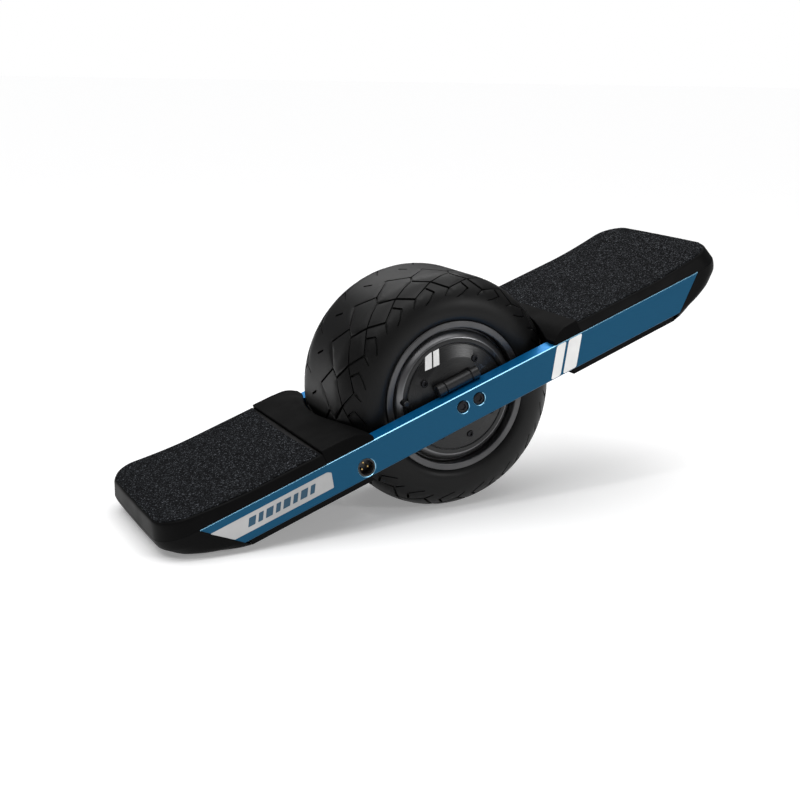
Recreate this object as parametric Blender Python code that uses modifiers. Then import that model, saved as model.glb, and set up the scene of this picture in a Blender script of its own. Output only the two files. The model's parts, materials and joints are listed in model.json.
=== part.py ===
"""One-wheeled self-balancing board, standing tipped on its tail. Metres, +Z up.

Everything is laid out on a level board first: the axle's centre is the origin, +X points to the
front end, and +Y is the rider's left. The empty "board" then tilts the whole board about the axle
until the tail's underside touches the floor, and centres it on the world's origin.
"""

import math

import bmesh
import bpy
from mathutils import Matrix, Vector

# Rails
RAIL_OUT = 0.118  # outer face of a rail, from the centre line
RAIL_TOP = 0.0167
RAIL_BOTTOM = -0.0230
WEB = 0.006
FLANGE = 0.003
FLANGE_IN = 0.096  # inner edge of both flanges
RAIL_TIP_X = 0.354  # the slanted end at the top flange
RAIL_FOOT_X = 0.312  # and at the bottom flange

# Tyre and rim
TYRE_R = 0.146
TYRE_HALF = 0.0825
SHOULDER_R = 0.0416
TREAD_T = 0.0075
LIP_R = 0.0930
LIP_Y = 0.0790
RIM_BORE_R = 0.0845
BACK_IRON_R = 0.0750
COVER_SEAT_Y = 0.0620

# Hub motor
AXLE_R = 0.011
HUB_R = 0.015
STATOR_R = 0.0660
STATOR_BORE_R = 0.0480
STATOR_HALF = 0.022
WINDING_END = 0.033
MAGNET_R = 0.0690
BEARING_R = 0.0200
BEARING_IN, BEARING_OUT = 0.0620, 0.0750
DOME_Y = 0.0885
COVER_SCREW_CIRCLE = 0.051
COVER_SCREW_ANGLES = (45, 135, 270)
COVER_SEAT_OUT = 0.0830  # where the cover screws' heads rest
VALVE_X, VALVE_Z = -0.0665, 0.0240
SHAFT_END = 0.107
AXLE_SHOULDER = 0.034

# Axle blocks and their bolts
BLOCK_HALF = 0.029
BLOCK_IN = 0.0893
BLOCK_BOTTOM = -0.016
BOLT_X = 0.0115
BOLT_Z = 0.001
BOLT_HOLE_R = 0.008
BARREL_R = 0.0075
BARREL_Y, BARREL_Z = 0.0972, 0.0247
BARREL_HALF, COLLAR_IN = 0.024, 0.018
BOLT_SEAT = 0.114  # bottom of the counterbores in the rails

# Screws: head radius, head height, shank radius, length
COVER_SCREW = (0.0042, 0.0030, 0.0020, 0.0070)
AXLE_BOLT = (0.0070, 0.0026, 0.0040, 0.0050)
PAD_SCREW = (0.0046, 0.0035, 0.0024, 0.0108)
BUMPER_SCREW = (0.0042, 0.0026, 0.0021, 0.0078)

# Deck: footpads, grips and fenders
PAD_LOW = 0.0170
PAD_HIGH = 0.0290
GRIP_HIGH = 0.0305
PAD_TOP_HALF = 0.1145
GRIP_HALF = 0.1125
PAD_NOSE_LOW, PAD_NOSE_HIGH = 0.3995, 0.3930  # the nose is longest at the bottom of the footpad
NOSE_CORNER_R = 0.038
STRETCH_FROM = 0.300
SPLIT_X = {"front": 0.168, "rear": 0.192}  # where the footpad meets the fender
KICK = ((0.290, 0.0), (0.318, 0.0015), (0.345, 0.0040), (0.370, 0.0068), (0.393, 0.0073))
WELL_SIDE, WELL_DEEP = 0.129, 0.023  # wheel opening: at the sides, and how much longer in the middle
FENDER_TOP = ((0.129, 0.0210), (0.133, 0.0245), (0.140, 0.0285), (0.147, 0.0312), (0.165, 0.0325))
WALL_T = 0.004
PAD_SCREW_X, PAD_SCREW_Y = 0.240, 0.1045
SENSOR_X, SENSOR_HALF = (0.190, 0.284), 0.095

# Nose bumpers: how far the nose reaches and the half width, at each height
BUMPER_LEVELS = (
    (-0.0312, 0.3110, 0.1120), (-0.0285, 0.3280, 0.1150), (-0.0230, 0.3480, 0.1172),
    (-0.0170, 0.3660, 0.1178), (-0.0090, 0.3830, 0.1178), (0.0050, 0.3980, 0.1178),
    (0.0125, 0.3996, 0.1178), (0.0167, 0.3995, 0.1178),
)
BUMPER_SCREW_X, BUMPER_SCREW_Y = 0.330, 0.080
BUMPER_SEAT_Z = -0.0190
LENS_LOW, LENS_HIGH = (0.3830, -0.0090), (0.3980, 0.0050)  # the sloping face that holds the lens
LENS_HALF = 0.060

# Boxes between the rails
BOX_HALF = 0.0954
BOX_BOTTOM = -0.0315
BOX_TOP = 0.0122
BOX_IN, BOX_OUT = 0.160, 0.305
BOX_WALL = 0.003
LID_TOP = 0.0155
SKID_HALF, SKID_IN = 0.113, 0.145  # the skid plate under a box reaches below the rails
SKID_TOP = -0.0233

# Electrics: opposite corners of each block
BATTERY_PACK = ((-0.298, -0.088, -0.0282), (-0.170, 0.088, 0.0040))
MONITOR_BOARD = ((-0.280, -0.060, 0.0045), (-0.190, 0.060, 0.0065))
CONTROLLER_BOARD = ((0.180, -0.075, -0.0187), (0.285, 0.075, -0.0147))
MOTOR_CONNECTOR = ((0.190, 0.0958, -0.0120), (0.216, 0.1100, 0.0040))
CABLE_R = 0.0035
CABLE_Y, CABLE_Z, CABLE_DIP = 0.1040, -0.0040, 0.0040
CABLE_STEPS = 16

# Charge socket in the right rail, power button in the left one
PORT_X, PORT_Z = -0.1494, -0.0105
PORT_HOLE_R = 0.011
PORT_FACE, PORT_FLOOR, PORT_BACK = -0.1172, -0.1055, -0.0985  # along Y
PORT_CUP_R = 0.0090
PIN_CIRCLE, PIN_R = 0.0045, 0.0012
BUTTON_R = 0.0072
BUTTON_FACE, BUTTON_BACK = 0.1185, 0.1010

# Gap left between pieces that touch, and how many sides round pieces have
GAP = 0.0003
WHEEL_SIDES, SHAFT_SIDES, SCREW_SIDES = 36, 20, 10

MATERIALS = {
    "blue_anodised": ((0.020, 0.130, 0.260), 0.35, 0.8),
    "black_plastic": ((0.012, 0.013, 0.015), 0.55, 0.0),
    "grip": ((0.016, 0.019, 0.022), 0.95, 0.0),
    "tyre": ((0.014, 0.014, 0.015), 0.75, 0.0),
    "dark_aluminium": ((0.060, 0.062, 0.066), 0.40, 0.8),
    "steel": ((0.35, 0.35, 0.36), 0.35, 1.0),
    "black_steel": ((0.02, 0.02, 0.022), 0.40, 0.9),
    "copper": ((0.60, 0.26, 0.10), 0.40, 1.0),
    "smoked_lens": ((0.02, 0.02, 0.025), 0.10, 0.0),
    "cells": ((0.10, 0.20, 0.12), 0.50, 0.0),
    "circuit": ((0.01, 0.12, 0.05), 0.50, 0.0),
    "sensor_film": ((0.45, 0.30, 0.08), 0.45, 0.0),
    "cable": ((0.02, 0.02, 0.02), 0.60, 0.0),
    "socket_plastic": ((0.015, 0.015, 0.015), 0.40, 0.0),
    "button_metal": ((0.55, 0.56, 0.58), 0.30, 1.0),
}


# ---------------------------------------------------------------- scene and placing


def new_collection(name):
    collection = bpy.data.collections.new(name)
    bpy.context.scene.collection.children.link(collection)
    return collection


def made_material(name):
    """A Principled material from the table above, made once."""
    if name in bpy.data.materials:
        return bpy.data.materials[name]
    colour, roughness, metallic = MATERIALS[name]
    material = bpy.data.materials.new(name)
    material.use_nodes = True
    shader = material.node_tree.nodes["Principled BSDF"]
    shader.inputs["Base Color"].default_value = (*colour, 1.0)
    shader.inputs["Roughness"].default_value = roughness
    shader.inputs["Metallic"].default_value = metallic
    material.diffuse_color = (*colour, 1.0)
    return material


def placed(obj, parent, material=None, smooth=False):
    """Gives an object its parent and material. One without a material is a cutter."""
    obj.parent = parent
    if material is None:
        obj.hide_render = True
        obj.display_type = "WIRE"
        cutters.objects.link(obj)
        return obj
    obj.data.materials.append(made_material(material))
    if smooth:
        obj.data.shade_smooth()
        obj.data.set_sharp_from_angle(angle=math.radians(35))
    parts.objects.link(obj)
    return obj


def side_of(name):
    """+1 for a left or front piece, -1 for a right or rear one."""
    return 1 if "left" in name or "front" in name else -1


# ---------------------------------------------------------------- shapes


def mesh_object(name, bm):
    mesh = bpy.data.meshes.new(name)
    bm.to_mesh(mesh)
    bm.free()
    return bpy.data.objects.new(name, mesh)


def block(name, low, high):
    """A box from its lowest to its highest corner."""
    bm = bmesh.new()
    size = [b - a for a, b in zip(low, high)]
    centre = [(a + b) / 2 for a, b in zip(low, high)]
    matrix = Matrix.Translation(centre) @ Matrix.Diagonal((*size, 1.0))
    bmesh.ops.create_cube(bm, size=1.0, matrix=matrix)
    return mesh_object(name, bm)


def rod(name, radius, start, end, segments=SCREW_SIDES):
    """A cylinder from one point to another."""
    start, end = Vector(start), Vector(end)
    turn = (end - start).to_track_quat("Z", "Y").to_matrix().to_4x4()
    matrix = Matrix.Translation((start + end) / 2) @ turn
    bm = bmesh.new()
    bmesh.ops.create_cone(
        bm, cap_ends=True, segments=segments, radius1=radius, radius2=radius,
        depth=(end - start).length, matrix=matrix,
    )
    return mesh_object(name, bm)


def turned(name, profile, steps=WHEEL_SIDES, closed=True):
    """A profile of (radius, place along the axis) turned about the object's own Z axis.

    An open profile starts and ends on the axis.
    """
    ends = profile[1:] + profile[:1]
    if sum(r * z2 - r2 * z for (r, z), (r2, z2) in zip(profile, ends)) > 0:
        profile = profile[::-1]
    bm = bmesh.new()
    points = [bm.verts.new((r, 0.0, z)) for r, z in profile]
    for a, b in zip(points, points[1:] + points[:1] if closed else points[1:]):
        bm.edges.new((a, b))
    obj = mesh_object(name, bm)
    screw = obj.modifiers.new("turn", "SCREW")
    screw.axis = "Z"
    screw.angle = 2 * math.pi
    screw.steps = screw.render_steps = steps
    screw.use_merge_vertices = True
    screw.merge_threshold = 1e-5
    screw.use_smooth_shade = True
    return obj


def across(obj):
    """Lays a turned piece's axis along Y."""
    obj.rotation_euler = (-math.pi / 2, 0.0, 0.0)
    return obj


def extruded(name, outline, axis, low, high):
    """A flat outline pushed through from low to high along X, Y or Z.

    The outline's points are the other two coordinates, in alphabetical order.
    """
    curve = bpy.data.curves.new(name, "CURVE")
    curve.dimensions = "2D"
    curve.fill_mode = "BOTH"
    curve.extrude = (high - low) / 2
    spline = curve.splines.new("POLY")
    spline.points.add(len(outline) - 1)
    for point, (a, b) in zip(spline.points, outline):
        point.co = (a, b, 0.0, 1.0)
    spline.use_cyclic_u = True
    guide = bpy.data.objects.new(name, curve)
    bpy.context.scene.collection.objects.link(guide)
    graph = bpy.context.evaluated_depsgraph_get()
    mesh = bpy.data.meshes.new_from_object(guide.evaluated_get(graph))
    bpy.data.objects.remove(guide)
    columns = {
        "X": ((0, 0, 1), (1, 0, 0), (0, 1, 0)),
        "Y": ((1, 0, 0), (0, 0, 1), (0, 1, 0)),
        "Z": ((1, 0, 0), (0, 1, 0), (0, 0, 1)),
    }[axis]
    matrix = Matrix(columns).to_4x4()
    offset = Vector([1.0 if letter == axis else 0.0 for letter in "XYZ"]) * (high + low) / 2
    bm = bmesh.new()
    bm.from_mesh(mesh)
    bmesh.ops.remove_doubles(bm, verts=bm.verts, dist=1e-6)
    bmesh.ops.transform(bm, matrix=Matrix.Translation(offset) @ matrix, verts=bm.verts)
    bmesh.ops.recalc_face_normals(bm, faces=bm.faces)
    bpy.data.meshes.remove(mesh)
    return mesh_object(name, bm)


def boolean(obj, operation, *others):
    for other in others:
        modifier = obj.modifiers.new(other.name, "BOOLEAN")
        modifier.operation = operation
        modifier.object = other
    return obj


def interpolated(table, x):
    """The value at x on a run of (x, value) points, level beyond either end."""
    if x <= table[0][0]:
        return table[0][1]
    for (x0, v0), (x1, v1) in zip(table, table[1:]):
        if x <= x1:
            return v0 + (v1 - v0) * (x - x0) / (x1 - x0)
    return table[-1][1]


def reshaped(obj, stations, move, side):
    """Cuts a piece across at each station along X, moves its points, and mirrors a rear one."""
    bm = bmesh.new()
    bm.from_mesh(obj.data)
    for x in stations:
        geometry = bm.verts[:] + bm.edges[:] + bm.faces[:]
        bmesh.ops.bisect_plane(
            bm, geom=geometry, dist=1e-7, plane_co=(x, 0, 0), plane_no=(1, 0, 0)
        )
    for vertex in bm.verts:
        vertex.co = move(vertex.co)
        vertex.co.x *= side
    bmesh.ops.recalc_face_normals(bm, faces=bm.faces)
    bm.to_mesh(obj.data)
    bm.free()
    return obj


def facing(obj, side):
    """Mirrors a piece laid out for the front end if it belongs to the rear one."""
    return reshaped(obj, [], lambda point: point, side)


def shell(name, rings):
    """A closed body through rings of points, the lowest first."""
    bm = bmesh.new()
    rings = [[bm.verts.new(point) for point in ring_points] for ring_points in rings]
    for low, high in zip(rings, rings[1:]):
        for i, corner in enumerate(low):
            bm.faces.new((corner, low[i - 1], high[i - 1], high[i]))
    bm.faces.new(rings[0])
    bm.faces.new(rings[-1])
    bmesh.ops.triangulate(bm, faces=bm.faces)
    bmesh.ops.recalc_face_normals(bm, faces=bm.faces)
    return mesh_object(name, bm)


def arc(centre, radius, start, end, steps):
    """Points on a circle, with the angles in degrees."""
    angles = [math.radians(start + (end - start) * i / steps) for i in range(steps + 1)]
    return [
        (centre[0] + radius * math.cos(a), centre[1] + radius * math.sin(a)) for a in angles
    ]


def deck_outline(inner, nose, half, corner):
    """Plan of one end of the deck: square at the wheel side, round corners at the nose."""
    return (
        [(inner, -half)]
        + arc((nose - corner, corner - half), corner, -90, 0, 6)
        + arc((nose - corner, half - corner), corner, 0, 90, 6)
        + [(inner, half)]
    )


def well_x(y):
    """How far the wheel opening reaches from the axle, at y across the board."""
    return WELL_SIDE + WELL_DEEP * math.cos(math.pi / 2 * min(1.0, abs(y) / 0.100))


def well_curve(half, offset=0.0, steps=14):
    ys = [half * (2 * i / steps - 1) for i in range(steps + 1)]
    return [(well_x(y) + offset, y) for y in ys]


# ---------------------------------------------------------------- wheel and hub motor


def tyre_profile():
    """Outer skin from bead to bead, then the inner skin back, as (radius, y)."""
    crown = TYRE_R - SHOULDER_R
    edge = TYRE_HALF - SHOULDER_R
    bead_y = LIP_Y - 0.0045
    outer = [(LIP_R + 0.0008, LIP_Y - 0.0005)]
    outer += [(r, y) for y, r in arc((edge, crown), SHOULDER_R, 0, 90, 5)]
    half_in = TYRE_HALF - TREAD_T
    inner_r = SHOULDER_R - TREAD_T
    inner = [(r, y) for y, r in arc((half_in - inner_r, crown), inner_r, 90, 0, 2)]
    inner += [(LIP_R + 0.003, bead_y - 0.006), (LIP_R - 0.0052, bead_y - 0.010)]
    inner += [(LIP_R - 0.0052, bead_y), (LIP_R + 0.0008, bead_y + 0.002)]
    mirrored_outer = [(r, -y) for r, y in outer]
    mirrored_inner = [(r, -y) for r, y in inner]
    return outer + mirrored_outer[::-1] + mirrored_inner[::-1] + inner


def rim_profile():
    seat = 0.0871
    half = [
        (LIP_R, LIP_Y), (LIP_R, LIP_Y - 0.0025), (seat, LIP_Y - 0.0036),
        (seat, COVER_SEAT_Y), (0.0820, 0.0480),
    ]
    inner = [(RIM_BORE_R, LIP_Y), (RIM_BORE_R, COVER_SEAT_Y), (BACK_IRON_R, COVER_SEAT_Y)]
    outer = half + [(r, -y) for r, y in half[::-1]]
    return outer + [(r, -y) for r, y in inner] + inner[::-1]


def cover_profile():
    """Side cover of the motor: a flange in the rim, a steep flank, a flat ring and a dome."""
    rim_gap = RIM_BORE_R - GAP
    return [
        (rim_gap, COVER_SEAT_Y + GAP), (rim_gap, 0.0690), (0.0805, 0.0695), (0.0765, 0.0775),
        (0.0660, 0.0790), (0.0500, 0.0845), (0.0300, DOME_Y), (HUB_R, DOME_Y),
        (HUB_R, BEARING_OUT + GAP), (BEARING_R + GAP, BEARING_OUT + GAP),
        (BEARING_R + GAP, BEARING_IN - GAP), (0.0260, BEARING_IN - GAP), (0.0280, 0.0740),
        (0.0600, 0.0700), (0.0660, COVER_SEAT_Y + GAP),
    ]


def ring(inner, outer, low, high):
    return [(outer, high), (outer, low), (inner, low), (inner, high)]


def make_screw(name, size):
    """A screw whose head's seat is at 0 and whose shank runs down."""
    head_r, head_h, shank_r, length = size
    profile = [
        (0.0, head_h), (head_r * 0.8, head_h), (head_r, head_h * 0.6), (head_r, 0.0),
        (shank_r, 0.0), (shank_r, -length), (0.0, -length),
    ]
    return turned(name, profile, SCREW_SIDES, closed=False)


def cover_screw_seat(angle, side):
    a = math.radians(angle)
    return (
        COVER_SCREW_CIRCLE * math.cos(a), side * COVER_SEAT_OUT, COVER_SCREW_CIRCLE * math.sin(a)
    )


def make_wheel():
    placed(across(turned("tyre", tyre_profile())), wheel, "tyre")
    placed(across(turned("rim", rim_profile())), wheel, "dark_aluminium")
    magnets = ring(MAGNET_R, BACK_IRON_R - GAP, -STATOR_HALF, STATOR_HALF)
    placed(across(turned("magnet_ring", magnets)), wheel, "steel")
    for name in ("left", "right"):
        make_hub_side(name)
    make_valve()


def make_valve():
    """Tyre valve, through a hole in the right cover, with its cap."""
    def pin(name, radius, inner, outer):
        return rod(name, radius, (VALVE_X, -inner, VALVE_Z), (VALVE_X, -outer, VALVE_Z))

    hole = pin("valve_hole", 0.0045, 0.0700, 0.0850)
    boolean(bpy.data.objects["hub_cover_right"], "DIFFERENCE", placed(hole, wheel))
    placed(pin("valve_stem", 0.0042, 0.0755, 0.0822), wheel, "black_plastic", smooth=True)
    placed(pin("valve_cap", 0.0036, 0.0825, 0.0878), wheel, "black_plastic", smooth=True)


def make_hub_side(name):
    """One side cover with its bearing and screws."""
    side = side_of(name)
    profile = [(r, side * y) for r, y in cover_profile()]
    cover = placed(across(turned(f"hub_cover_{name}", profile)), wheel, "dark_aluminium")
    low, high = sorted((side * BEARING_IN, side * BEARING_OUT))
    bearing = ring(AXLE_R + GAP, BEARING_R, low, high)
    placed(across(turned(f"bearing_{name}", bearing, SHAFT_SIDES)), wheel, "steel")
    for number, angle in enumerate(COVER_SCREW_ANGLES, 1):
        x, y, z = cover_screw_seat(angle, side)
        seat = rod(f"seat_{name}_{number}", 0.0047, (x, y, z), (x, side * 0.092, z))
        bore = rod(f"bore_{name}_{number}", 0.0023, (x, side * 0.0755, z), (x, side * 0.085, z))
        boolean(cover, "DIFFERENCE", placed(seat, wheel), placed(bore, wheel))
        screw = make_screw(f"cover_screw_{name}_{number}", COVER_SCREW)
        screw.rotation_euler = (-side * math.pi / 2, 0.0, 0.0)
        screw.location = (x, y + side * GAP, z)
        placed(screw, wheel, "black_steel")


def make_motor():
    """What stays still inside the wheel: the axle, its hub, the laminated stator and windings."""
    axle = [
        (0.0, SHAFT_END), (AXLE_R, SHAFT_END), (AXLE_R, AXLE_SHOULDER), (HUB_R, AXLE_SHOULDER),
        (HUB_R, -AXLE_SHOULDER), (AXLE_R, -AXLE_SHOULDER), (AXLE_R, -SHAFT_END), (0.0, -SHAFT_END),
    ]
    placed(across(turned("axle", axle, SHAFT_SIDES, closed=False)), board, "steel")
    hub = ring(HUB_R + GAP, STATOR_BORE_R - GAP, -0.012, 0.012)
    placed(across(turned("stator_hub", hub, SHAFT_SIDES)), board, "dark_aluminium")
    core = ring(STATOR_BORE_R, STATOR_R, -STATOR_HALF, STATOR_HALF)
    placed(across(turned("stator", core)), board, "steel")
    for name in ("left", "right"):
        side = side_of(name)
        low, high = sorted((side * (STATOR_HALF + GAP), side * WINDING_END))
        winding = ring(STATOR_BORE_R + 0.002, STATOR_R - 0.002, low, high)
        placed(across(turned(f"winding_{name}", winding)), board, "copper")


# ---------------------------------------------------------------- frame


def make_rail(name):
    """A C-shaped extrusion with slanted ends, its open side towards the wheel."""
    side = side_of(name)
    inside = RAIL_OUT - WEB
    section = [
        (FLANGE_IN, RAIL_TOP), (RAIL_OUT, RAIL_TOP), (RAIL_OUT, RAIL_BOTTOM),
        (FLANGE_IN, RAIL_BOTTOM), (FLANGE_IN, RAIL_BOTTOM + FLANGE),
        (inside, RAIL_BOTTOM + FLANGE), (inside, RAIL_TOP - FLANGE),
        (FLANGE_IN, RAIL_TOP - FLANGE),
    ]
    section = [(side * y, z) for y, z in section]
    rail = extruded(f"rail_{name}", section, "X", -RAIL_TIP_X, RAIL_TIP_X)
    slant = (RAIL_TIP_X - RAIL_FOOT_X) / (RAIL_TOP - RAIL_BOTTOM)
    over = 0.005
    foot, tip = RAIL_FOOT_X - over * slant, RAIL_TIP_X + over * slant
    for end in (1, -1):
        wedge = [
            (end * foot, RAIL_BOTTOM - over), (end * tip, RAIL_TOP + over),
            (end * (tip + 0.05), RAIL_BOTTOM - over),
        ]
        cutter = extruded(f"end_{name}_{end}", wedge, "Y", *sorted((side * 0.09, side * 0.13)))
        boolean(rail, "DIFFERENCE", placed(cutter, board))
    for x in (-BOLT_X, BOLT_X):
        face = (x, side * 0.12, BOLT_Z)
        recess = rod(f"recess_{name}_{x}", BOLT_HOLE_R, (x, side * BOLT_SEAT, BOLT_Z), face)
        bore = rod(f"bolt_bore_{name}_{x}", 0.0046, (x, side * 0.1, BOLT_Z), face)
        boolean(rail, "DIFFERENCE", placed(recess, board), placed(bore, board))
    port = rod(
        f"port_bore_{name}", PORT_HOLE_R, (PORT_X, side * 0.0955, PORT_Z),
        (PORT_X, side * 0.12, PORT_Z), SHAFT_SIDES,
    )
    boolean(rail, "DIFFERENCE", placed(port, board))
    for end in ("front", "rear"):
        boolean(rail, "DIFFERENCE", bpy.data.objects[f"pad_bore_{end}_{name}"])
    placed(rail, board, "blue_anodised")


def make_axle_block(name):
    """Clamps the axle's end to the rail. A barrel with two collars runs along its top edge."""
    side = side_of(name)
    outer = RAIL_OUT - WEB - GAP
    low, high = sorted((side * BLOCK_IN, side * outer))
    body = block(
        f"axle_block_{name}", (-BLOCK_HALF, low, BLOCK_BOTTOM),
        (BLOCK_HALF, high, RAIL_TOP - FLANGE - GAP),
    )
    low, high = sorted((side * BLOCK_IN, side * (FLANGE_IN - GAP)))
    neck_half = BLOCK_HALF - 0.004
    neck = block(f"neck_{name}", (-neck_half, low, -0.01), (neck_half, high, BARREL_Z))
    barrel = rod(
        f"barrel_{name}", BARREL_R, (-BARREL_HALF, side * BARREL_Y, BARREL_Z),
        (BARREL_HALF, side * BARREL_Y, BARREL_Z),
    )
    boolean(body, "UNION", placed(neck, board), placed(barrel, board))
    for end in (1, -1):
        collar = rod(
            f"collar_{name}_{end}", BARREL_R + 0.0003,
            (end * COLLAR_IN, side * BARREL_Y, BARREL_Z), (end * BLOCK_HALF, side * BARREL_Y, BARREL_Z),
        )
        boolean(body, "UNION", placed(collar, board))
    shaft = rod(
        f"shaft_bore_{name}", AXLE_R + GAP, (0, side * 0.085, 0), (0, side * (SHAFT_END + GAP), 0),
        SHAFT_SIDES,
    )
    boolean(body, "DIFFERENCE", placed(shaft, board))
    for number, x in enumerate((-BOLT_X, BOLT_X), 1):
        bore = rod(
            f"block_bore_{name}_{number}", 0.0043, (x, side * 0.1085, BOLT_Z), (x, side * 0.12, BOLT_Z)
        )
        boolean(body, "DIFFERENCE", placed(bore, board))
        bolt = make_screw(f"axle_bolt_{name}_{number}", AXLE_BOLT)
        bolt.rotation_euler = (-side * math.pi / 2, 0.0, 0.0)
        bolt.location = (x, side * (BOLT_SEAT + GAP), BOLT_Z)
        placed(bolt, board, "black_steel")
    placed(body, board, "dark_aluminium")


def make_box(prefix, end):
    """An open-topped tray between the rails on a skid plate, with a flat lid."""
    side = side_of(end)
    low, high = sorted((side * BOX_IN, side * BOX_OUT))
    tray = block(f"{prefix}_box", (low, -BOX_HALF, BOX_BOTTOM + 0.001), (high, BOX_HALF, BOX_TOP))
    near, inner, outer = BOX_HALF + 0.0004, BOX_IN + 0.0005, BOX_OUT - 0.0005
    corners = [(outer, SKID_HALF), (SKID_IN, SKID_HALF), (SKID_IN, near), (inner, near)]
    outline = corners + [(x, -y) for x, y in corners[::-1]]
    skid = facing(extruded(f"{prefix}_skid", outline, "Z", BOX_BOTTOM, SKID_TOP), side)
    hollow = block(
        f"{prefix}_hollow", (low + BOX_WALL, -BOX_HALF + BOX_WALL, BOX_BOTTOM + BOX_WALL),
        (high - BOX_WALL, BOX_HALF - BOX_WALL, BOX_TOP + 0.01),
    )
    boolean(tray, "UNION", placed(skid, board))
    placed(boolean(tray, "DIFFERENCE", placed(hollow, board)), board, "black_plastic")
    lid = block(f"{prefix}_lid", (low, -BOX_HALF, BOX_TOP + GAP), (high, BOX_HALF, LID_TOP))
    placed(lid, board, "black_plastic")


def make_electrics():
    make_box("battery", "rear")
    make_box("controller", "front")
    placed(block("battery_pack", *BATTERY_PACK), board, "cells")
    placed(block("battery_monitor_board", *MONITOR_BOARD), board, "circuit")
    placed(block("controller_board", *CONTROLLER_BOARD), board, "circuit")
    placed(block("motor_connector", *MOTOR_CONNECTOR), board, "socket_plastic")
    sensor = block(
        "foot_sensor", (SENSOR_X[0], -SENSOR_HALF, PAD_HIGH - 0.0009),
        (SENSOR_X[1], SENSOR_HALF, PAD_HIGH - 0.0001),
    )
    placed(sensor, board, "sensor_film")
    make_motor_cable()


def make_motor_cable():
    """The motor's lead, held inside the left rail from the axle block to the controller."""
    curve = bpy.data.curves.new("motor_cable", "CURVE")
    curve.dimensions = "3D"
    curve.bevel_depth = CABLE_R
    curve.bevel_resolution = 2
    curve.use_fill_caps = True
    start, end = BLOCK_HALF + GAP, MOTOR_CONNECTOR[0][0] - GAP
    spline = curve.splines.new("POLY")
    spline.points.add(CABLE_STEPS)
    for i, point in enumerate(spline.points):
        t = i / CABLE_STEPS
        dip = CABLE_DIP * math.sin(math.pi * t) ** 2
        point.co = (start + (end - start) * t, CABLE_Y, CABLE_Z - dip, 1.0)
    placed(bpy.data.objects.new("motor_cable", curve), board, "cable")


# ---------------------------------------------------------------- deck


def deck_move(low, high, top_half, half, flare):
    """Moves a deck plate's points: its top is narrower and longer, and rises at the nose."""
    def move(point):
        up = (point.z - low) / (high - low)
        x = point.x
        if flare and x > STRETCH_FROM:
            longer = (PAD_NOSE_HIGH - PAD_NOSE_LOW) / (PAD_NOSE_LOW - STRETCH_FROM)
            x += up * longer * (x - STRETCH_FROM)
        y = point.y * (1 + up * (top_half / half - 1))
        return Vector((x, y, point.z + (up if flare else 1.0) * interpolated(KICK, x)))
    return move


def kick_stations(flare):
    """Where to cut a plate so that its top, once stretched, bends at the kick's stations."""
    xs = [x for x, _ in KICK[:-1]]
    if not flare:
        return xs
    longer = (PAD_NOSE_HIGH - PAD_NOSE_LOW) / (PAD_NOSE_LOW - STRETCH_FROM)
    return [x if x <= STRETCH_FROM else (x + longer * STRETCH_FROM) / (1 + longer) for x in xs]


def make_pad(end):
    side = side_of(end)
    inner = SPLIT_X[end] + GAP
    outline = deck_outline(inner, PAD_NOSE_LOW, RAIL_OUT, NOSE_CORNER_R)
    pad = extruded(f"{end}_footpad", outline, "Z", PAD_LOW, PAD_HIGH)
    move = deck_move(PAD_LOW, PAD_HIGH, PAD_TOP_HALF, RAIL_OUT, True)
    reshaped(pad, kick_stations(True), move, side)
    for name in ("left", "right"):
        x, y = side * PAD_SCREW_X, side_of(name) * PAD_SCREW_Y
        bore = rod(f"pad_bore_{end}_{name}", 0.0028, (x, y, 0.0125), (x, y, 0.0250))
        boolean(pad, "DIFFERENCE", placed(bore, board))
        screw = make_screw(f"footpad_screw_{end}_{name}", PAD_SCREW)
        screw.rotation_euler = (math.pi, 0.0, 0.0)
        screw.location = (x, y, RAIL_TOP - FLANGE - GAP)
        placed(screw, board, "black_steel")
    if end == "front":
        room = 0.0005
        pocket = block(
            "sensor_pocket", (SENSOR_X[0] - room, -SENSOR_HALF - room, PAD_HIGH - 0.0012),
            (SENSOR_X[1] + room, SENSOR_HALF + room, 0.04),
        )
        boolean(pad, "DIFFERENCE", placed(pocket, board))
    placed(pad, board, "black_plastic")
    inset = PAD_TOP_HALF - GRIP_HALF
    outline = deck_outline(
        SPLIT_X[end] + 0.002, PAD_NOSE_HIGH - inset, GRIP_HALF, NOSE_CORNER_R - inset
    )
    grip = extruded(f"{end}_grip", outline, "Z", PAD_HIGH + GAP, GRIP_HIGH)
    move = deck_move(PAD_HIGH + GAP, GRIP_HIGH, GRIP_HALF, GRIP_HALF, False)
    placed(reshaped(grip, kick_stations(False), move, side), board, "grip")


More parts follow.
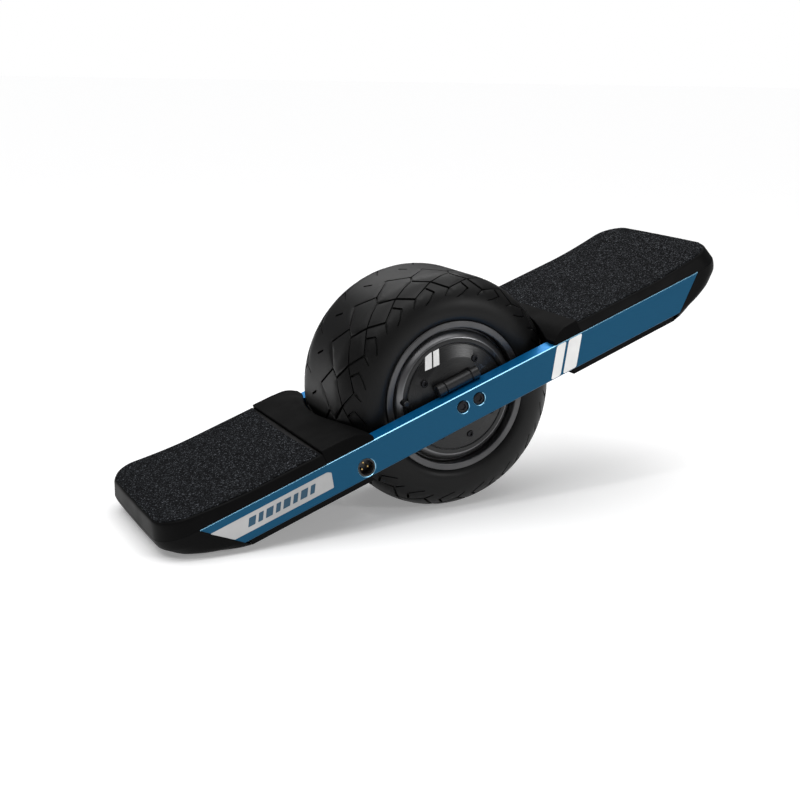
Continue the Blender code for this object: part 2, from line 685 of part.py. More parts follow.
def make_fender(end):
    """Smooth piece round the wheel opening, with a wall down to the floor of the board."""
    side = side_of(end)
    outer = SPLIT_X[end]
    outline = well_curve(RAIL_OUT) + [(outer, RAIL_OUT), (outer, -RAIL_OUT)]
    high = FENDER_TOP[-1][1]
    fender = extruded(f"{end}_fender", outline, "Z", PAD_LOW, high)

    def move(point):
        up = (point.z - PAD_LOW) / (high - PAD_LOW)
        y = point.y * (1 + up * (PAD_TOP_HALF / RAIL_OUT - 1))
        top = interpolated(FENDER_TOP, point.x)
        return Vector((point.x, y, PAD_LOW + up * (top - PAD_LOW)))

    reshaped(fender, [x for x, _ in FENDER_TOP[1:]], move, side)
    near, far = well_curve(BOX_HALF, 0.0004), well_curve(BOX_HALF, WALL_T)
    wall = extruded(f"wall_{end}", near + far[::-1], "Z", BOX_BOTTOM, PAD_LOW + 0.002)
    edge = BOX_IN - GAP
    ledge = [(edge, BOX_HALF - 0.0005), (edge, -BOX_HALF + 0.0005)]
    floor_curve = well_curve(BOX_HALF - 0.0005, 0.002)
    floor = extruded(f"floor_{end}", floor_curve + ledge, "Z", BOX_BOTTOM + 0.0002, BOX_BOTTOM + 0.003)
    for piece in (wall, floor):
        boolean(fender, "UNION", placed(facing(piece, side), board))
    placed(fender, board, "black_plastic")


def bumper_outline(z, nose, half):
    """Plan of a bumper at one height. Its inner edge follows the slant of the rails' ends."""
    slant = (RAIL_TIP_X - RAIL_FOOT_X) / (RAIL_TOP - RAIL_BOTTOM)
    inner = max(BOX_OUT + 0.0006, RAIL_FOOT_X + slant * (z - RAIL_BOTTOM) + 0.0008)
    corner = min(NOSE_CORNER_R, 0.75 * (nose - inner - 0.002))
    return deck_outline(inner, nose, half, corner)


def make_bumper(end):
    side = side_of(end)
    outlines = [(z, bumper_outline(z, nose, half)) for z, nose, half in BUMPER_LEVELS]
    rings = [[(side * x, y, z) for x, y in outline] for z, outline in outlines]
    bumper = shell(f"{end}_bumper", rings)
    reach = LENS_HALF + GAP
    slot = extruded(f"lens_slot_{end}", lens_profile(0.0, -0.0005), "Y", -reach, reach)
    lens = extruded(f"{end}_light_lens", lens_profile(GAP, 0.0002), "Y", -LENS_HALF, LENS_HALF)
    boolean(bumper, "DIFFERENCE", placed(facing(slot, side), board))
    placed(facing(lens, side), board, "smoked_lens")
    for name in ("left", "right"):
        x, y = side * BUMPER_SCREW_X, side_of(name) * BUMPER_SCREW_Y
        seat = rod(f"bumper_seat_{end}_{name}", 0.0047, (x, y, BUMPER_SEAT_Z), (x, y, -0.040))
        bore = rod(f"bumper_bore_{end}_{name}", 0.0025, (x, y, -0.0105), (x, y, -0.030))
        boolean(bumper, "DIFFERENCE", placed(seat, board), placed(bore, board))
        screw = make_screw(f"bumper_screw_{end}_{name}", BUMPER_SCREW)
        screw.rotation_euler = (math.pi, 0.0, 0.0)
        screw.location = (x, y, BUMPER_SEAT_Z - GAP)
        placed(screw, board, "black_steel")
    placed(bumper, board, "black_plastic")


def lens_profile(gap, front):
    """The strip let into the nose's sloping face, as points (x, z). It starts at front, below the face."""
    low, high = Vector(LENS_LOW), Vector(LENS_HIGH)
    along = (high - low).normalized()
    inward = Vector((-along.y, along.x))
    a, b = low + along * (0.004 + gap), low + along * (0.0165 - gap)
    depth = 0.004 - gap
    corners = (a + inward * front, b + inward * front, b + inward * depth, a + inward * depth)
    return [tuple(corner) for corner in corners]


# ---------------------------------------------------------------- socket and button


def make_charge_port():
    """A round socket in the right rail, open to the side, with three contact pins inside."""
    def drum(name, radius, start, end):
        return rod(name, radius, (PORT_X, start, PORT_Z), (PORT_X, end, PORT_Z), SHAFT_SIDES)

    port = drum("charge_port", PORT_HOLE_R - GAP, PORT_BACK, PORT_FACE)
    cup = drum("port_cup", PORT_CUP_R, PORT_FLOOR, -0.120)
    boolean(port, "DIFFERENCE", placed(cup, board))
    for number, angle in enumerate((90, 210, 330)):
        x = PORT_X + PIN_CIRCLE * math.cos(math.radians(angle))
        z = PORT_Z + PIN_CIRCLE * math.sin(math.radians(angle))
        pin = rod(f"port_pin_{number}", PIN_R, (x, PORT_FLOOR + 0.002, z), (x, -0.1100, z), 8)
        boolean(port, "UNION", placed(pin, board))
    placed(port, board, "socket_plastic")


def make_power_button():
    """A round push button in the left rail, in its bezel. It travels inwards."""
    centre = (PORT_X, 0.0, PORT_Z)
    floor, rim = BUTTON_BACK + 0.004, BUTTON_FACE - 0.0008
    bezel = [
        (0.0, floor), (BUTTON_R + GAP, floor), (BUTTON_R + GAP, rim), (PORT_HOLE_R - GAP, rim),
        (PORT_HOLE_R - GAP, BUTTON_BACK), (0.0, BUTTON_BACK),
    ]
    ring_piece = across(turned("button_bezel", bezel, SHAFT_SIDES, closed=False))
    ring_piece.location = centre
    placed(ring_piece, board, "black_plastic")
    back, front = BUTTON_BACK + 0.007, BUTTON_FACE - 0.0012
    cap = [(0.0, front + 0.0002), (BUTTON_R, front), (BUTTON_R, back), (0.0, back)]
    button = across(turned("power_button", cap, SHAFT_SIDES, closed=False))
    button.location = centre
    placed(button, board, "button_metal")


# ---------------------------------------------------------------- standing on the floor


def rest_tilt():
    """The tilt at which the tail's underside and the bottom of the tyre share the floor."""
    return min(
        math.asin(TYRE_R / math.hypot(x, z)) - math.atan2(-z, x) for z, x, _ in BUMPER_LEVELS
    )


def centre_on_origin():
    """Moves the board so that the world's origin is at the middle of its underside."""
    bpy.context.view_layer.update()
    graph = bpy.context.evaluated_depsgraph_get()
    corners = []
    for obj in parts.objects:
        evaluated = obj.evaluated_get(graph)
        mesh = evaluated.to_mesh()
        corners += [evaluated.matrix_world @ vertex.co for vertex in mesh.vertices]
        evaluated.to_mesh_clear()
    xs, ys = [c.x for c in corners], [c.y for c in corners]
    shift = Vector((-(min(xs) + max(xs)) / 2, -(min(ys) + max(ys)) / 2, 0.0))
    for empty in (board, wheel):
        empty.location += shift


for startup_object in list(bpy.data.objects):
    bpy.data.objects.remove(startup_object)
parts = new_collection("one_wheel_board")
cutters = new_collection("cutters")

board = bpy.data.objects.new("board", None)
wheel = bpy.data.objects.new("wheel_axis", None)
for empty in (board, wheel):
    empty.location = (0.0, 0.0, TYRE_R)
    bpy.context.scene.collection.objects.link(empty)
board.rotation_euler = (0.0, -rest_tilt(), 0.0)

make_wheel()
make_motor()
for board_end in ("front", "rear"):
    make_pad(board_end)
    make_fender(board_end)
    make_bumper(board_end)
for board_side in ("left", "right"):
    make_rail(board_side)
    make_axle_block(board_side)
make_electrics()
make_charge_port()
make_power_button()
centre_on_origin()
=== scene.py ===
"""One-wheeled self-balancing board: the visual model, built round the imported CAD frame.

Shapes are laid out on a level board, in millimetres: the axle's centre is the origin, +X points to
the front (raised) end and +Y is the rider's left. BOARD then tips them onto the frame.
"""

import json
import math
import random

import bmesh
import bpy
import numpy as np
from mathutils import Matrix, Vector
from mathutils.geometry import delaunay_2d_cdt


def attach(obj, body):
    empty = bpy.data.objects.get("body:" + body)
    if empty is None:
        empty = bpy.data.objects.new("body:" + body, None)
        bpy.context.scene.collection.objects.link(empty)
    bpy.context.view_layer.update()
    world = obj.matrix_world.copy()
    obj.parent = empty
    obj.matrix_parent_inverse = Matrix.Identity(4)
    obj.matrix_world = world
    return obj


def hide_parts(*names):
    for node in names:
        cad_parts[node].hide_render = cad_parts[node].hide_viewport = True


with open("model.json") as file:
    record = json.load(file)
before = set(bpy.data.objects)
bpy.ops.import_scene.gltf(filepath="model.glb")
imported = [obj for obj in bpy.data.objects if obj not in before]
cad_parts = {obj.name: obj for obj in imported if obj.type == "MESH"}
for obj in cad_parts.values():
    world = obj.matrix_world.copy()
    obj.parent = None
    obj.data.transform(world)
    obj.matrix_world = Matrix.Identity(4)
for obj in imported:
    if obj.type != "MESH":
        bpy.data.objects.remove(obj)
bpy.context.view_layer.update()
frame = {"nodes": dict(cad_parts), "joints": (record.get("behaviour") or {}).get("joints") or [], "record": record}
scene = bpy.context.scene


# ---------------- where things are


def joint(name):
    return next(j for j in frame["joints"] if j["name"] == name)


def mount(name):
    return next(m for m in frame["record"]["mounts"] if m["name"] == name)


AXLE = Vector(joint("wheel_spin")["pos_m"])
deck_up = Vector(mount("rear_deck")["axis"])
TILT = math.atan2(-deck_up.x, deck_up.z)
BOARD = Matrix.Translation(AXLE) @ Matrix.Rotation(-TILT, 4, "Y") @ Matrix.Scale(0.001, 4)


def span(node):
    """A CAD node's lowest and highest corners on the level board, in millimetres."""
    back = BOARD.inverted()
    points = [back @ vertex.co for vertex in frame["nodes"][node].data.vertices]
    low = Vector([min(p[i] for p in points) for i in range(3)])
    high = Vector([max(p[i] for p in points) for i in range(3)])
    return low, high


RAIL_LOW, RAIL_HIGH = span("rail_left")
RAIL_FACE = RAIL_HIGH.y - 0.2  # leaves room for the marks inside the CAD's width
RAIL_TOP, RAIL_BOTTOM = RAIL_HIGH.z, RAIL_LOW.z
RAIL_TIP = RAIL_HIGH.x
RAIL_FOOT = 312.0
WEB, FLANGE, FLANGE_IN = 6.0, 3.0, RAIL_LOW.y
RAIL_CHAMFER, RIM_CHAMFER = 0.9, 0.6
TYRE_R, TYRE_HALF, _ = span("tyre")[1]
SHOULDER_R = 41.6
BEAD_R, BEAD_Y = 93.8, 78.5
PAD_LOW, PAD_HIGH, GRIP_HIGH = 17.0, 29.0, 30.5
DECK_HALF_LOW, DECK_HALF_HIGH, GRIP_HALF = 118.0, 114.5, 112.5
NOSE_LOW, NOSE_HIGH, NOSE_CORNER, NOSE_BOW = 399.3, 393.0, 38.0, 1.5
GRIP_START, GRIP_NOSE, GRIP_CORNER = 356.0, NOSE_HIGH - 2.2, 36.0
GRIP_CELL, GRIP_COLUMNS = 2.0, 112
SPLIT = {"front": 168.0, "rear": 192.0}
KICK = ((290, 0.0), (318, 1.5), (345, 4.0), (370, 6.8), (393, 7.3))
FENDER_TOP = ((129, 21.0), (133, 24.5), (140, 28.5), (147, 31.2), (165, 32.5))
FENDER_COLUMNS, FENDER_ROWS, WELL_HALF, WELL_STEPS = 48, 18, 95.0, 40
# How far the nose reaches at each height. The first point lies below it, for the smoothing.
BUMPER_FACE = (
    (-33.2, 297.0), (-31.2, 311.0), (-28.5, 328.0), (-23.0, 348.0), (-17.0, 366.0), (-9.0, 383.0),
    (5.0, 398.0), (12.5, 399.6), (16.7, 399.5),
)
BUMPER_HALF = ((-31.2, 112.0), (-28.5, 115.0), (-23.0, 117.2), (-17.0, 117.8))
BUMPER_LEVELS = (
    -31.2, -30.4, -29.5, -28.5, -27, -25.5, *range(-24, -10, 2), *range(-9, 4, 3), 5, 8, 11, 14, 16.7,
)
BUMPER_SCREW_X, BUMPER_SCREW_Y, BUMPER_SCREW_Z = 330, 80, -19.0
LENS_LOW, LENS_HIGH, LENS_HALF = Vector((383.0, -9.0)), Vector((398.0, 5.0)), 60.0
FLANK_R, FLANK_Y = 72.0, 69.2  # a hub cover's flank lies beyond both; it is painted lighter, as a painted highlight
COVER_FACE = ((15.0, 88.5), (30.0, 88.5), (50.0, 84.5), (66.0, 79.0), (76.5, 77.5))
BOX_IN, BOX_OUT, BOX_HALF, BOX_BOTTOM = 160.0, 305.0, 95.4, -31.5
SKID_IN, SKID_HALF, SKID_TOP = 145.0, 113.0, -23.3
COVER_SCREW_R, COVER_SCREW_Y = 51.0, 83.0
COVER_SCREW_ANGLES = (0, 45, 135, 180, 225, 270, 315)
CAD_SCREW_ANGLES = (45, 135, 270)
BOLT_X, BOLT_Z, BOLT_FLOOR = 11.5, 1.0, 114.0
BLOCK_IN, BLOCK_OUT = 89.3, 111.4
PORT_X, PORT_Z, PORT_R = -149.4, -10.5, 11.0


def side_of(name):
    """+1 for a left or front piece, -1 for a right or rear one."""
    return 1 if "left" in name or "front" in name else -1


def along(table, x):
    """The value at x on a run of (x, value) points, level beyond either end."""
    return float(np.interp(x, [p[0] for p in table], [p[1] for p in table]))


def kick(x):
    """How far the deck has risen at x, with the bends smoothed."""
    return sum(along(KICK, x + d) for d in (-10, -5, 0, 5, 10)) / 5


# ---------------- looks


class Look:
    """A material being built: its shader, and short ways to add nodes to it."""

    def __init__(self, name, **sockets):
        self.material = bpy.data.materials.new(name)
        self.material.use_nodes = True
        self.tree = self.material.node_tree
        self.shader = self.tree.nodes["Principled BSDF"]
        for socket, value in sockets.items():
            self.shader.inputs[socket.replace("_", " ")].default_value = value
        self.place = self.node("ShaderNodeTexCoord").outputs["Object"]

    def node(self, kind, values=None, **settings):
        node = self.tree.nodes.new(kind)
        for name, value in settings.items():
            setattr(node, name, value)
        for name, value in (values or {}).items():
            if isinstance(value, bpy.types.NodeSocket):
                self.tree.links.new(value, node.inputs[name])
            else:
                node.inputs[name].default_value = value
        return node

    def to(self, socket, output):
        self.tree.links.new(output, self.shader.inputs[socket])

    def stretched(self, scale):
        """Coordinates that run along the board, scaled on each axis."""
        values = {"Vector": self.place, "Rotation": (0.0, TILT, 0.0), "Scale": scale}
        return self.node("ShaderNodeMapping", values).outputs["Vector"]

    def noise(self, scale, detail=2.0, place=None):
        values = {"Vector": place or self.place, "Scale": scale, "Detail": detail}
        return self.node("ShaderNodeTexNoise", values).outputs["Fac"]

    def waves(self, scale, distortion=0.0, place=None, direction="X"):
        values = {"Vector": place or self.place, "Scale": scale, "Distortion": distortion}
        return self.node("ShaderNodeTexWave", values, bands_direction=direction).outputs["Fac"]

    def cells(self, scale):
        """A random value for each cell of a fine Voronoi pattern."""
        cells = self.node("ShaderNodeTexVoronoi", {"Vector": self.place, "Scale": scale})
        split = self.node("ShaderNodeSeparateColor", {"Color": cells.outputs["Color"]})
        return split.outputs["Red"], cells.outputs["Distance"]

    def radius(self):
        """Distance from the axle's line, in metres."""
        moved = self.node(
            "ShaderNodeVectorMath", {0: self.place, 1: tuple(AXLE)}, operation="SUBTRACT"
        )
        flat = self.node(
            "ShaderNodeVectorMath", {0: moved.outputs[0], 1: (1.0, 0.0, 1.0)}, operation="MULTIPLY"
        )
        length = self.node("ShaderNodeVectorMath", {0: flat.outputs[0]}, operation="LENGTH")
        return length.outputs["Value"]

    def ramp(self, value, *stops):
        """Colours at places along the value."""
        node = self.node("ShaderNodeValToRGB", {"Fac": value})
        elements = node.color_ramp.elements
        while len(elements) < len(stops):
            elements.new(0.5)
        for element, (place, colour) in zip(elements, stops):
            element.position = place
            element.color = (*colour, 1.0)
        return node.outputs["Color"]

    def tint(self, value, colour, share, start=0.3, end=0.7):
        """Base colour that goes from darker to lighter by a share of itself along the value."""
        dark, light = (tuple(c * factor for c in colour) for factor in (1 - share, 1 + share))
        self.to("Base Color", self.ramp(value, (start, dark), (end, light)))

    def spread(self, value, low, high, start=0.3, end=0.7):
        """The value's range from start to end, moved to run from low to high."""
        values = {"Value": value, "From Min": start, "From Max": end, "To Min": low, "To Max": high}
        return self.node("ShaderNodeMapRange", values).outputs["Result"]

    def bumped(self, *layers):
        """Bump from (height, strength, distance in metres) layers, laid over each other."""
        normal = None
        for height, strength, distance in layers:
            values = {"Height": height, "Strength": strength, "Distance": distance}
            if normal:
                values["Normal"] = normal
            normal = self.node("ShaderNodeBump", values).outputs["Normal"]
        self.to("Normal", normal)


def plain_look(name, colour, roughness, metallic=0.0, grain=900.0, depth=0.00004, **sockets):
    """Colour and roughness that wander a little, with a fine grain."""
    look = Look(name, Metallic=metallic, **sockets)
    look.tint(look.noise(14.0, 4.0), colour, 0.18)
    look.to("Roughness", look.spread(look.noise(32.0, 5.0), roughness - 0.06, roughness + 0.06))
    look.bumped((look.noise(grain, 3.0), 0.35, depth))
    return look.material


def anodised_look(name, colour, roughness):
    """Brushed and anodised: fine streaks along the rail under a clear blue skin."""
    look = Look(name, Metallic=0.8)
    streak = look.noise(60.0, 3.0, look.stretched((1.0, 30.0, 30.0)))
    look.tint(streak, colour, 0.08, 0.25, 0.75)
    look.to("Roughness", look.spread(streak, roughness - 0.05, roughness + 0.05))
    look.bumped((streak, 0.10, 0.00003), (look.noise(1500.0, 2.0), 0.12, 0.00002))
    return look.material


def moulded_look(name, colour, roughness, depth):
    """Black moulded plastic with a fine spark-eroded grain."""
    look = Look(name, Specular_IOR_Level=0.06)
    look.tint(look.noise(9.0, 5.0), colour, 0.15)
    look.to("Roughness", look.spread(look.noise(28.0, 5.0), roughness - 0.05, roughness + 0.06))
    look.bumped((look.noise(1400.0, 3.0), 0.5, depth), (look.noise(35.0, 2.0), 0.05, 0.0004))
    return look.material


def grip_look():
    """Grit stuck on film: dark grains, a few painted light as painted glints."""
    look = Look("grip_grit", Specular_IOR_Level=0.08)
    grain, edge = look.cells(900.0)
    fine, _ = look.cells(1700.0)
    mixed = look.node(
        "ShaderNodeMath", {0: grain, 1: look.spread(fine, 0.82, 1.0, 0.0, 1.0)}, operation="MULTIPLY"
    ).outputs[0]
    # The few light cells at the top of this ramp are painted glints.
    look.to("Base Color", look.ramp(
        mixed, (0.0, (0.0008, 0.0009, 0.0011)), (0.45, (0.0030, 0.0034, 0.0042)),
        (0.70, (0.009, 0.010, 0.012)), (0.88, (0.034, 0.038, 0.044)), (0.97, (0.14, 0.15, 0.17)),
    ))
    look.to("Roughness", look.spread(mixed, 0.95, 0.45, 0.6, 0.95))
    look.bumped((grain, 0.8, 0.0005), (edge, 0.5, 0.0003))
    return look.material


def rubber_look():
    """Tyre rubber: nearly black, with a dusting that dulls it in patches."""
    look = Look("tyre_rubber", Specular_IOR_Level=0.20)
    dust = look.noise(11.0, 6.0)
    clean, dusty = (0.0024, 0.0024, 0.0025), (0.0046, 0.0046, 0.0045)
    look.to("Base Color", look.ramp(dust, (0.3, clean), (0.75, dusty)))
    look.to("Roughness", look.spread(dust, 0.36, 0.50))
    look.bumped((look.noise(1100.0, 3.0), 0.30, 0.00005), (look.noise(60.0, 4.0), 0.12, 0.0003))
    return look.material


def turned_look(name, colour, roughness, spread, metallic=0.9):
    """Metal turned on a lathe: faint rings round the axle."""
    look = Look(name, Metallic=metallic)
    radius = look.radius()
    rings = look.node(
        "ShaderNodeTexNoise", {"W": radius, "Scale": 2600.0, "Detail": 2.0}, noise_dimensions="1D"
    ).outputs["Fac"]
    look.tint(look.noise(20.0, 4.0), colour, 0.2)
    look.to("Roughness", look.spread(rings, roughness - spread, roughness + spread))
    look.bumped((rings, 0.25, 0.00003), (look.noise(700.0, 3.0), 0.2, 0.00003))
    return look.material


def winding_look():
    """Enamelled copper wire, side by side."""
    look = Look("copper_windings", Metallic=1.0)
    wave = look.waves(260.0, 1.5)
    look.to("Base Color", look.ramp(wave, (0.1, (0.25, 0.09, 0.03)), (0.8, (0.62, 0.27, 0.11))))
    look.to("Roughness", look.spread(wave, 0.5, 0.3, 0.0, 1.0))
    look.bumped((wave, 0.6, 0.0003))
    return look.material


def circuit_look():
    """Green board crowded with small dark and pale components."""
    look = Look("circuit_board")
    grain, edge = look.cells(150.0)
    look.to("Base Color", look.ramp(
        grain, (0.0, (0.006, 0.075, 0.030)), (0.62, (0.010, 0.110, 0.045)),
        (0.70, (0.015, 0.015, 0.016)), (0.92, (0.35, 0.33, 0.25)),
    ))
    look.to("Roughness", look.spread(grain, 0.35, 0.55, 0.0, 1.0))
    look.bumped((edge, 0.4, 0.0006))
    return look.material


def sensor_look():
    """Amber film with printed tracks."""
    look = Look("pressure_film")
    wave = look.waves(80.0)
    look.to("Base Color", look.ramp(wave, (0.45, (0.42, 0.27, 0.07)), (0.55, (0.16, 0.10, 0.04))))
    look.to("Roughness", look.spread(look.noise(40.0), 0.35, 0.5))
    look.bumped((wave, 0.2, 0.00008))
    return look.material


def cells_look():
    """Shrink wrap drawn over round cells."""
    look = Look("cell_wrap")
    wave = look.waves(15.0, place=look.stretched((1.0, 1.0, 1.0)))
    look.to("Base Color", look.ramp(wave, (0.2, (0.03, 0.07, 0.05)), (0.8, (0.09, 0.19, 0.12))))
    look.to("Roughness", look.spread(look.noise(50.0), 0.35, 0.5))
    look.bumped((wave, 0.5, 0.0015))
    return look.material


def lens_look():
    """Smoked clear plastic over fine vertical prisms."""
    look = Look("smoked_lens", Roughness=0.08, Coat_Weight=0.6, Coat_Roughness=0.03)
    wave = look.waves(110.0, direction="Y")
    look.to("Base Color", look.ramp(wave, (0.2, (0.008, 0.008, 0.010)), (0.8, (0.030, 0.030, 0.034))))
    look.bumped((wave, 0.35, 0.0003))
    return look.material


def floor_look():
    """Matt white sweep, faintly uneven in gloss only."""
    look = Look("pale_floor", Base_Color=(0.86, 0.86, 0.86, 1.0), Specular_IOR_Level=0.2)
    look.shader.inputs["Emission Color"].default_value = (1.0, 1.0, 1.0, 1.0)
    look.shader.inputs["Emission Strength"].default_value = 0.25
    look.to("Roughness", look.spread(look.noise(3.0), 0.85, 0.95))
    return look.material


def make_looks():
    return {
        "blue": anodised_look("blue_anodised_rail", (0.0055, 0.066, 0.135), 0.40),
        # The next two are painted light on the rail: a pale blue painted highlight for its chamfers, and a
        # brighter blue for the faces that look up.
        "blue_edge_painted_highlight": anodised_look("blue_anodised_edge_painted_highlight", (0.300, 0.620, 0.840), 0.28),
        "blue_top_painted_light": anodised_look("blue_anodised_top_painted_light", (0.0020, 0.250, 0.640), 0.36),
        "plastic": moulded_look("black_moulding", (0.0030, 0.0030, 0.0031), 0.46, 0.00006),
        "smooth_plastic": moulded_look("smooth_moulding", (0.0018, 0.0018, 0.0019), 0.70, 0.00003),
        "grip": grip_look(),
        "rubber": rubber_look(),
        "rim": turned_look("rim_satin", (0.085, 0.085, 0.087), 0.40, 0.08),
        "cover": turned_look("cover_cast", (0.010, 0.010, 0.0105), 0.32, 0.06, 0.3),
        # A lighter copy of the cover's look: a painted highlight for the flank.
        "cover_painted_highlight": turned_look("cover_flank_painted_highlight", (0.170, 0.170, 0.174), 0.34, 0.06),
        "block": plain_look("block_cast", (0.030, 0.030, 0.031), 0.42, 0.8, 600.0, 0.00008),
        "steel": plain_look("bright_steel", (0.38, 0.38, 0.39), 0.30, 1.0),
        "black_steel": plain_look("black_oxide", (0.018, 0.018, 0.020), 0.36, 0.9),
        "copper": winding_look(),
        "lens": lens_look(),
        "cells": cells_look(),
        "circuit": circuit_look(),
        "sensor": sensor_look(),
        "cable": plain_look("cable_sheath", (0.014, 0.014, 0.014), 0.55),
        "socket": plain_look("socket_nylon", (0.010, 0.010, 0.011), 0.38),
        "pin": plain_look("gold_pin", (0.62, 0.42, 0.16), 0.28, 1.0),
        "button": plain_look("button_cap", (0.52, 0.53, 0.55), 0.28, 1.0),
        "white_mark": plain_look("white_print", (0.80, 0.80, 0.79), 0.45),
        "panel": plain_look("pale_panel", (0.46, 0.46, 0.46), 0.50),
        "blue_mark": plain_look("blue_print", (0.005, 0.060, 0.115), 0.45),
        "floor": floor_look(),
    }


# ---------------- shapes


def placed(name, data):
    """An object for this data, linked into the scene."""
    obj = bpy.data.objects.new(name, data)
    scene.collection.objects.link(obj)
    return obj


def mesh_of(name, bm):
    """A mesh from a shape laid out on the level board, tipped onto the frame."""
    bmesh.ops.recalc_face_normals(bm, faces=bm.faces)
    mesh = bpy.data.meshes.new(name)
    bm.to_mesh(mesh)
    bm.free()
    mesh.transform(BOARD)
    return mesh


def piece(name, bm, look, replaces=(), body="chassis", sharp=35.0, bevel=0.0):
    """Makes a shape laid out on the level board into a piece that rides on a body."""
    mesh = mesh_of(name, bm)
    mesh.materials.append(LOOKS[look])
    mesh.shade_smooth()
    mesh.set_sharp_from_angle(angle=math.radians(sharp))
    obj = placed(name, mesh)
    if bevel:
        soften(obj, bevel)
    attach(obj, body)
    if replaces:
        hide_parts(*replaces)
    return obj


def soften(obj, width):
    """Rounds the sharp edges, in millimetres, and keeps the flat faces flat in the shading."""
    rounding = obj.modifiers.new("rounding", "BEVEL")
    rounding.width = width * 0.001
    rounding.segments = 2
    rounding.limit_method = "ANGLE"
    rounding.angle_limit = math.radians(32)
    rounding.use_clamp_overlap = True
    flat = obj.modifiers.new("flat_faces", "WEIGHTED_NORMAL")
    flat.keep_sharp = False


def cut(obj, shapes):
    """Takes shapes, bmeshes on the level board, out of a piece for good."""
    helpers = [placed(f"cutter_{n}", mesh_of(f"cutter_{n}", bm)) for n, bm in enumerate(shapes)]
    for helper in helpers:
        modifier = obj.modifiers.new(helper.name, "BOOLEAN")
        modifier.operation = "DIFFERENCE"
        modifier.solver = "EXACT"
        modifier.object = helper
    bpy.context.view_layer.update()
    graph = bpy.context.evaluated_depsgraph_get()
    old = obj.data
    obj.data = bpy.data.meshes.new_from_object(obj.evaluated_get(graph))
    obj.data.name = old.name
    obj.modifiers.clear()
    bpy.data.meshes.remove(old)
    for helper in helpers:
        bpy.data.objects.remove(helper)
    obj.data.shade_smooth()
    obj.data.set_sharp_from_angle(angle=math.radians(35))


def rounded(points, radius, steps=3, closed=True):
    """A run of points with each corner eased by up to radius."""
    points = [Vector(p) for p in points]
    count = len(points)
    result = []
    for i, corner in enumerate(points):
        if not closed and i in (0, count - 1):
            result.append(corner)
            continue
        before, after = points[i - 1] - corner, points[(i + 1) % count] - corner
        start = corner + before * min(0.45, radius / max(before.length, 1e-6))
        end = corner + after * min(0.45, radius / max(after.length, 1e-6))
        for step in range(steps + 1):
            t = step / steps
            result.append(start * (1 - t) ** 2 + corner * (2 * t * (1 - t)) + end * t ** 2)
    return [tuple(p) for p in result]


def bridged(bm, rings, ends=True, loop=False):
    """Faces between successive rings of equal length, with the ends filled."""
    count = len(rings[0])
    pairs = list(zip(rings, rings[1:])) + ([(rings[-1], rings[0])] if loop else [])
    for low, high in pairs:
        for i in range(count):
            j = (i + 1) % count
            bm.faces.new((low[i], low[j], high[j], high[i]))
    if ends and not loop:
        bm.faces.new(rings[0])
        bm.faces.new(rings[-1])
    return bm


def lofted(rings):
    """A solid skinned over rings of points."""
    bm = bmesh.new()
    return bridged(bm, [[bm.verts.new(p) for p in ring] for ring in rings])


def slab(tops, bases):
    """A solid between two equal grids of points, closed round their edges."""
    bm = bmesh.new()
    layers = [[[bm.verts.new(p) for p in row] for row in rows] for rows in (tops, bases)]
    strips = [pair for rows in layers for pair in zip(rows, rows[1:])]
    rims = [[rows[0], rows[-1], [r[0] for r in rows], [r[-1] for r in rows]] for rows in layers]
    for low, high in strips + list(zip(*rims)):
        for i in range(len(low) - 1):
            bm.faces.new((low[i], low[i + 1], high[i + 1], high[i]))
    return bm


def turned(profile, sides, matrix=None):
    """A profile of (radius, y) turned about Y. One that starts on the axis is open; others close."""
    bm = bmesh.new()
    closed = profile[0][0] > 0
    turn = [2 * math.pi * k / sides for k in range(sides)]
    rings = [
        [bm.verts.new((r * math.cos(a), y, r * math.sin(a))) for a in turn]
        for r, y in profile if r > 0
    ]
    bridged(bm, rings, ends=False, loop=closed)
    if not closed:
        for ring, (_, y) in ((rings[0], profile[0]), (rings[-1], profile[-1])):
            pole = bm.verts.new((0.0, y, 0.0))
            for i in range(sides):
                bm.faces.new((ring[i], ring[(i + 1) % sides], pole))
    if matrix:
        bmesh.ops.transform(bm, matrix=matrix, verts=bm.verts)
    return bm


def prism(outline, axis, low, high):
    """A flat outline pushed along X, Y or Z. Its points are the other two coordinates, in order."""
    def place(a, b, c):
        return {"X": (c, a, b), "Y": (a, c, b), "Z": (a, b, c)}[axis]
    return lofted([[place(a, b, c) for a, b in outline] for c in (low, high)])


def box(low, high):
    """A block between two opposite corners."""
    outline = [(low[0], low[1]), (high[0], low[1]), (high[0], high[1]), (low[0], high[1])]
    return prism(outline, "Z", low[2], high[2])


def rod(radius, start, end, sides=48, chamfer=0.0):
    """A round bar from one point to another."""
    start, end = Vector(start), Vector(end)
    length = (end - start).length
    profile = [(0.0, 0.0), (radius - chamfer, 0.0), (radius, chamfer)]
    profile += [(radius, length - chamfer), (radius - chamfer, length), (0.0, length)]
    if not chamfer:
        profile = [(0.0, 0.0), (radius, 0.0), (radius, length), (0.0, length)]
    turn = Vector((0, 1, 0)).rotation_difference(end - start).to_matrix().to_4x4()
    return turned(profile, sides, Matrix.Translation(start) @ turn)


